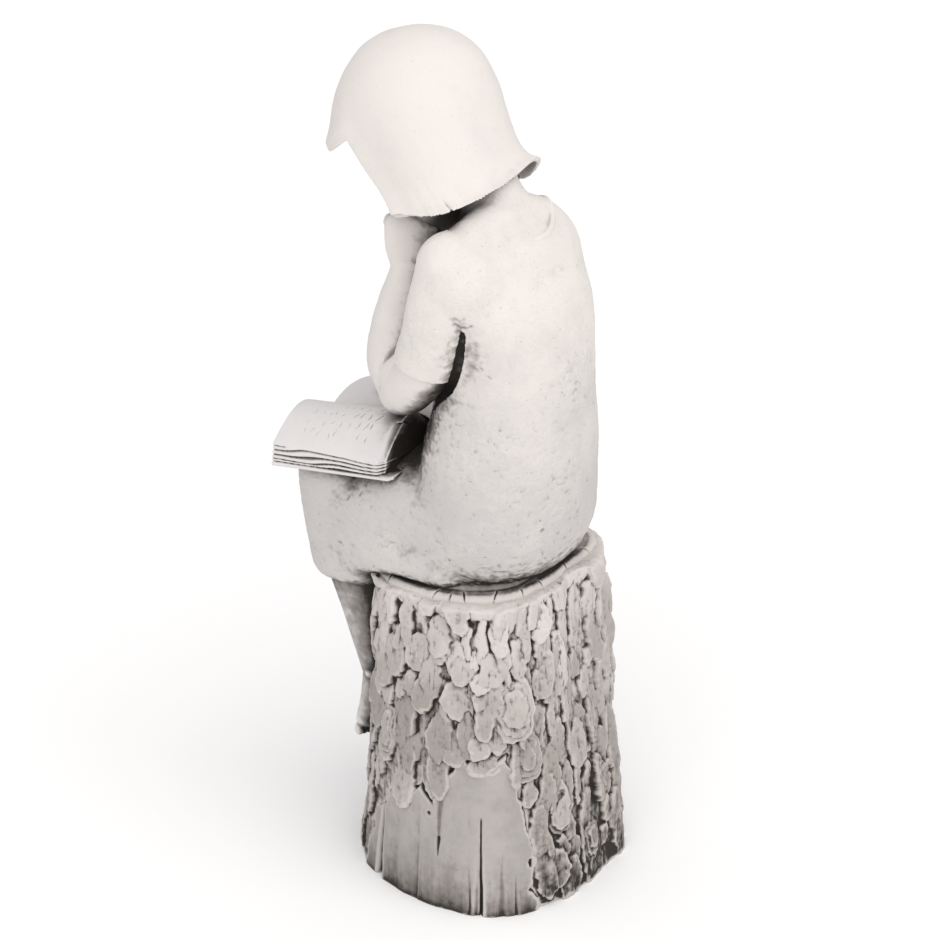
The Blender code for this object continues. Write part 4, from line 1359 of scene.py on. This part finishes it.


# Cast stone: one recipe, with a look for each part of the casting

# "pale" and "cool" are colours, and "from" and "to" the heights between which one passes into the other;
# the cooler colour lower down is partly weathering and partly painted shade. "mottle", "speck", "grain" and
# "streak" are strengths, "hollow" is how dark the hollows are, with patina and painted shade in them, and
# "lowSoilAndShade" darkens between the heights "lowFrom" and "lowTo", with soiling and painted shade.
stoneLooks = {
    "skinStone": {
        "pale": (0.745, 0.705, 0.675), "cool": (0.62, 0.59, 0.58), "from": 0.54, "to": 0.34, "mottle": 0.4,
        "patinaAndShadeStrength": 1.0, "speck": 0.3, "grain": 0.45, "hollow": 0.7, "streak": 0.0,
        "lowSoilAndShade": 0.60, "lowFrom": 0.37, "lowTo": 0.29},
    "dressStone": {
        "pale": (0.75, 0.71, 0.675), "cool": (0.56, 0.535, 0.525), "from": 0.62, "to": 0.36, "mottle": 0.75,
        "patinaAndShadeStrength": 1.0, "speck": 0.55, "grain": 1.5, "hollow": 0.6, "streak": 0.0,
        "lowSoilAndShade": 0.10, "lowFrom": 0.36, "lowTo": 0.32},
    "pageStone": {
        "pale": (0.78, 0.745, 0.72), "cool": (0.68, 0.66, 0.66), "from": 0.60, "to": 0.38, "mottle": 0.35,
        "patinaAndShadeStrength": 1.1, "speck": 0.3, "grain": 0.45, "hollow": 2.0, "streak": 0.0,
        "lowSoilAndShade": 0.24, "lowFrom": 0.420, "lowTo": 0.406},
    "barkStone": {
        "pale": (0.62, 0.58, 0.555), "cool": (0.36, 0.33, 0.31), "from": 0.312, "to": 0.16, "mottle": 0.5,
        "patinaAndShadeStrength": 1.0, "speck": 0.8, "grain": 1.5, "hollow": 0.78, "streak": 0.44,
        "lowSoilAndShade": 0.52, "lowFrom": 0.17, "lowTo": 0.0},
    "woodStone": {
        "pale": (0.62, 0.58, 0.555), "cool": (0.36, 0.337, 0.322), "from": 0.306, "to": 0.27, "mottle": 0.45,
        "patinaAndShadeStrength": 1.0, "speck": 0.7, "grain": 0.7, "hollow": 0.8, "streak": 0.10,
        "lowSoilAndShade": 0.20, "lowFrom": 0.09, "lowTo": 0.0},
}
# colours of the darkening in makeStone: patina, with painted shade
patinaAndShadeColour = (0.022, 0.018, 0.015)
washAndShadeColour = (0.215, 0.195, 0.182)
openNear, openFar = 0.16, 0.18      # shelter of an open, even surface
bumpDistance = 0.0006


def mixColours(tree, factor, first, second):
    node = addNode(tree, "ShaderNodeMix", {0: factor}, data_type="RGBA")
    for socket, colour in ((6, first), (7, second)):
        if isinstance(colour, bpy.types.NodeSocket):
            tree.links.new(colour, node.inputs[socket])
        else:
            node.inputs[socket].default_value = (*colour, 1)
    return node.outputs[2]


def maths(tree, operation, first, second, clamp=False):
    inputs = {0: first, 1: second}
    return addNode(tree, "ShaderNodeMath", inputs, operation=operation, use_clamp=clamp).outputs[0]


def plus(tree, first, second, clamp=False):
    return maths(tree, "ADD", first, second, clamp)


def minus(tree, first, second):
    return maths(tree, "SUBTRACT", first, second)


def times(tree, first, second, clamp=False):
    return maths(tree, "MULTIPLY", first, second, clamp)


def readShade(tree, name):
    return addNode(tree, "ShaderNodeAttribute", attribute_name=name).outputs["Fac"]


def ramp(tree, value, low, high, toLow=0.0, toHigh=1.0):
    inputs = {"Value": value, "From Min": low, "From Max": high, "To Min": toLow, "To Max": toHigh}
    return addNode(tree, "ShaderNodeMapRange", inputs, interpolation_type="SMOOTHSTEP").outputs["Result"]


def noiseTexture(tree, place, scale, detail=3.0, rough=0.5):
    inputs = {"Vector": place, "Scale": scale, "Detail": detail, "Roughness": rough}
    return addNode(tree, "ShaderNodeTexNoise", inputs).outputs["Fac"]


def makeStone(name):
    look = stoneLooks[name]
    material = bpy.data.materials.new(name)
    material.use_nodes = True
    tree = material.node_tree
    shader = tree.nodes["Principled BSDF"]
    place = addNode(tree, "ShaderNodeTexCoord").outputs["Object"]
    height = addNode(tree, "ShaderNodeSeparateXYZ", {0: place}).outputs["Z"]
    near = readShade(tree, "nearShelter")
    far = readShade(tree, "farShelter")
    cavity = readShade(tree, "cavity")
    broad = noiseTexture(tree, place, 14, 4)
    blotch = noiseTexture(tree, place, 70, 5, 0.6)
    sand = noiseTexture(tree, place, 900, 3, 0.7)
    # base tone, cooler and duller lower down, partly weathering and partly painted shade of the light from above
    tone = plus(tree, times(tree, broad, 0.7), times(tree, blotch, 0.3))
    lowWeatherAndShade = ramp(tree, height, look["from"], look["to"])
    coolness = plus(tree, ramp(tree, tone, 0.36, 0.66, -0.22, 0.22), times(tree, lowWeatherAndShade, 0.85))
    if name == "barkStone":
        plate = readShade(tree, "plateTone")
        coolness = plus(tree, coolness, times(tree, minus(tree, plate, 0.5), 0.6))
    coolness = plus(tree, coolness, 0.1, clamp=True)
    colour = mixColours(tree, coolness, look["pale"], look["cool"])
    # a thin darkening, then the dark patina, in what is sheltered: real patina in the hollows, and painted shade in
    # them too, between parts, under overhangs and low down
    uneven = times(tree, minus(tree, blotch, 0.5), look["mottle"])
    nearness = times(tree, minus(tree, near, openNear), 0.9)
    farness = times(tree, minus(tree, far, openFar), 2.0)
    hollow = times(tree, cavity, look["hollow"])
    patinaAndShade = plus(tree, plus(tree, nearness, farness), plus(tree, hollow, uneven))
    # darker towards the bottom: soiling, and painted shade on the legs behind the stump and by the seat
    patinaAndShade = plus(tree, patinaAndShade, ramp(tree, height, look["lowFrom"], look["lowTo"], 0.0, look["lowSoilAndShade"]))
    if look["streak"]:
        drawnOut = {"Vector": place, "Scale": (1.0, 1.0, 0.08)}
        upright = addNode(tree, "ShaderNodeMapping", drawnOut).outputs["Vector"]
        streak = ramp(tree, noiseTexture(tree, upright, 480, 2, 0.5), 0.54, 0.72, 0.0, look["streak"])
        patinaAndShade = plus(tree, patinaAndShade, streak)
    thinPatinaAndShade = times(tree, ramp(tree, patinaAndShade, 0.06, 0.62), 0.80 * look["patinaAndShadeStrength"], clamp=True)
    colour = mixColours(tree, thinPatinaAndShade, colour, washAndShadeColour)
    dark = times(tree, ramp(tree, patinaAndShade, 0.42, 1.20), 0.95 * look["patinaAndShadeStrength"], clamp=True)
    colour = mixColours(tree, dark, colour, patinaAndShadeColour)
    # edges made pale: worn, and a painted highlight where they catch the light
    wornAndLit = times(tree, ramp(tree, cavity, -0.30, -1.0), 0.40)
    colour = mixColours(tree, wornAndLit, colour, tuple(min(1.0, part * 1.12) for part in look["pale"]))
    # specks and pinholes
    speckNoise = noiseTexture(tree, place, 420, 2, 0.5)
    speck = times(tree, ramp(tree, speckNoise, 0.66, 0.74), 0.55 * look["speck"])
    colour = mixColours(tree, speck, colour, washAndShadeColour)
    tree.links.new(colour, shader.inputs["Base Color"])
    tree.links.new(ramp(tree, sand, 0.3, 0.7, 0.80, 0.96), shader.inputs["Roughness"])
    shader.inputs["Specular IOR Level"].default_value = 0.25
    grit = plus(tree, sand, times(tree, noiseTexture(tree, place, 260, 4, 0.6), 1.6))
    pits = ramp(tree, noiseTexture(tree, place, 330, 1, 0.4), 0.62, 0.74)
    relief = minus(tree, grit, times(tree, pits, 1.5 * look["speck"]))
    bumps = {"Height": relief, "Strength": 0.35 * look["grain"], "Distance": bumpDistance}
    bump = addNode(tree, "ShaderNodeBump", bumps)
    tree.links.new(bump.outputs["Normal"], shader.inputs["Normal"])
    return material


# Putting it together

def finishPiece(piece, stone):
    piece.data.materials.clear()
    piece.data.materials.append(stone)
    faces = len(piece.data.polygons)
    piece.data.polygons.foreach_set("use_smooth", [True] * faces)
    piece.data.polygons.foreach_set("material_index", [0] * faces)
    piece.data.name = piece.name
    triangles = sum(len(face.vertices) - 2 for face in piece.data.polygons)
    print(f"{piece.name}: {triangles} triangles")
    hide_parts(solidName)
    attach(piece, "root")


stones = {name: makeStone(name) for name in stoneLooks}
girlHead = makeHead()
print("head made")
girlLimbs = makeLimbs()
print("limbs made")
girlDress = makeDress()
print("dress made")
openBook = makeBook()
print("book made")
stumpWood = makeWood()
print("wood made")
stumpBark = makeBark(stones["barkStone"])
print("bark made")
parts = {girlHead: "skinStone", girlLimbs: "skinStone", girlDress: "dressStone", openBook: "pageStone",
         stumpWood: "woodStone", stumpBark: "barkStone"}
shadePieces(list(parts))
print("shelter worked out")
for piece, stoneName in parts.items():
    finishPiece(piece, stones[stoneName])
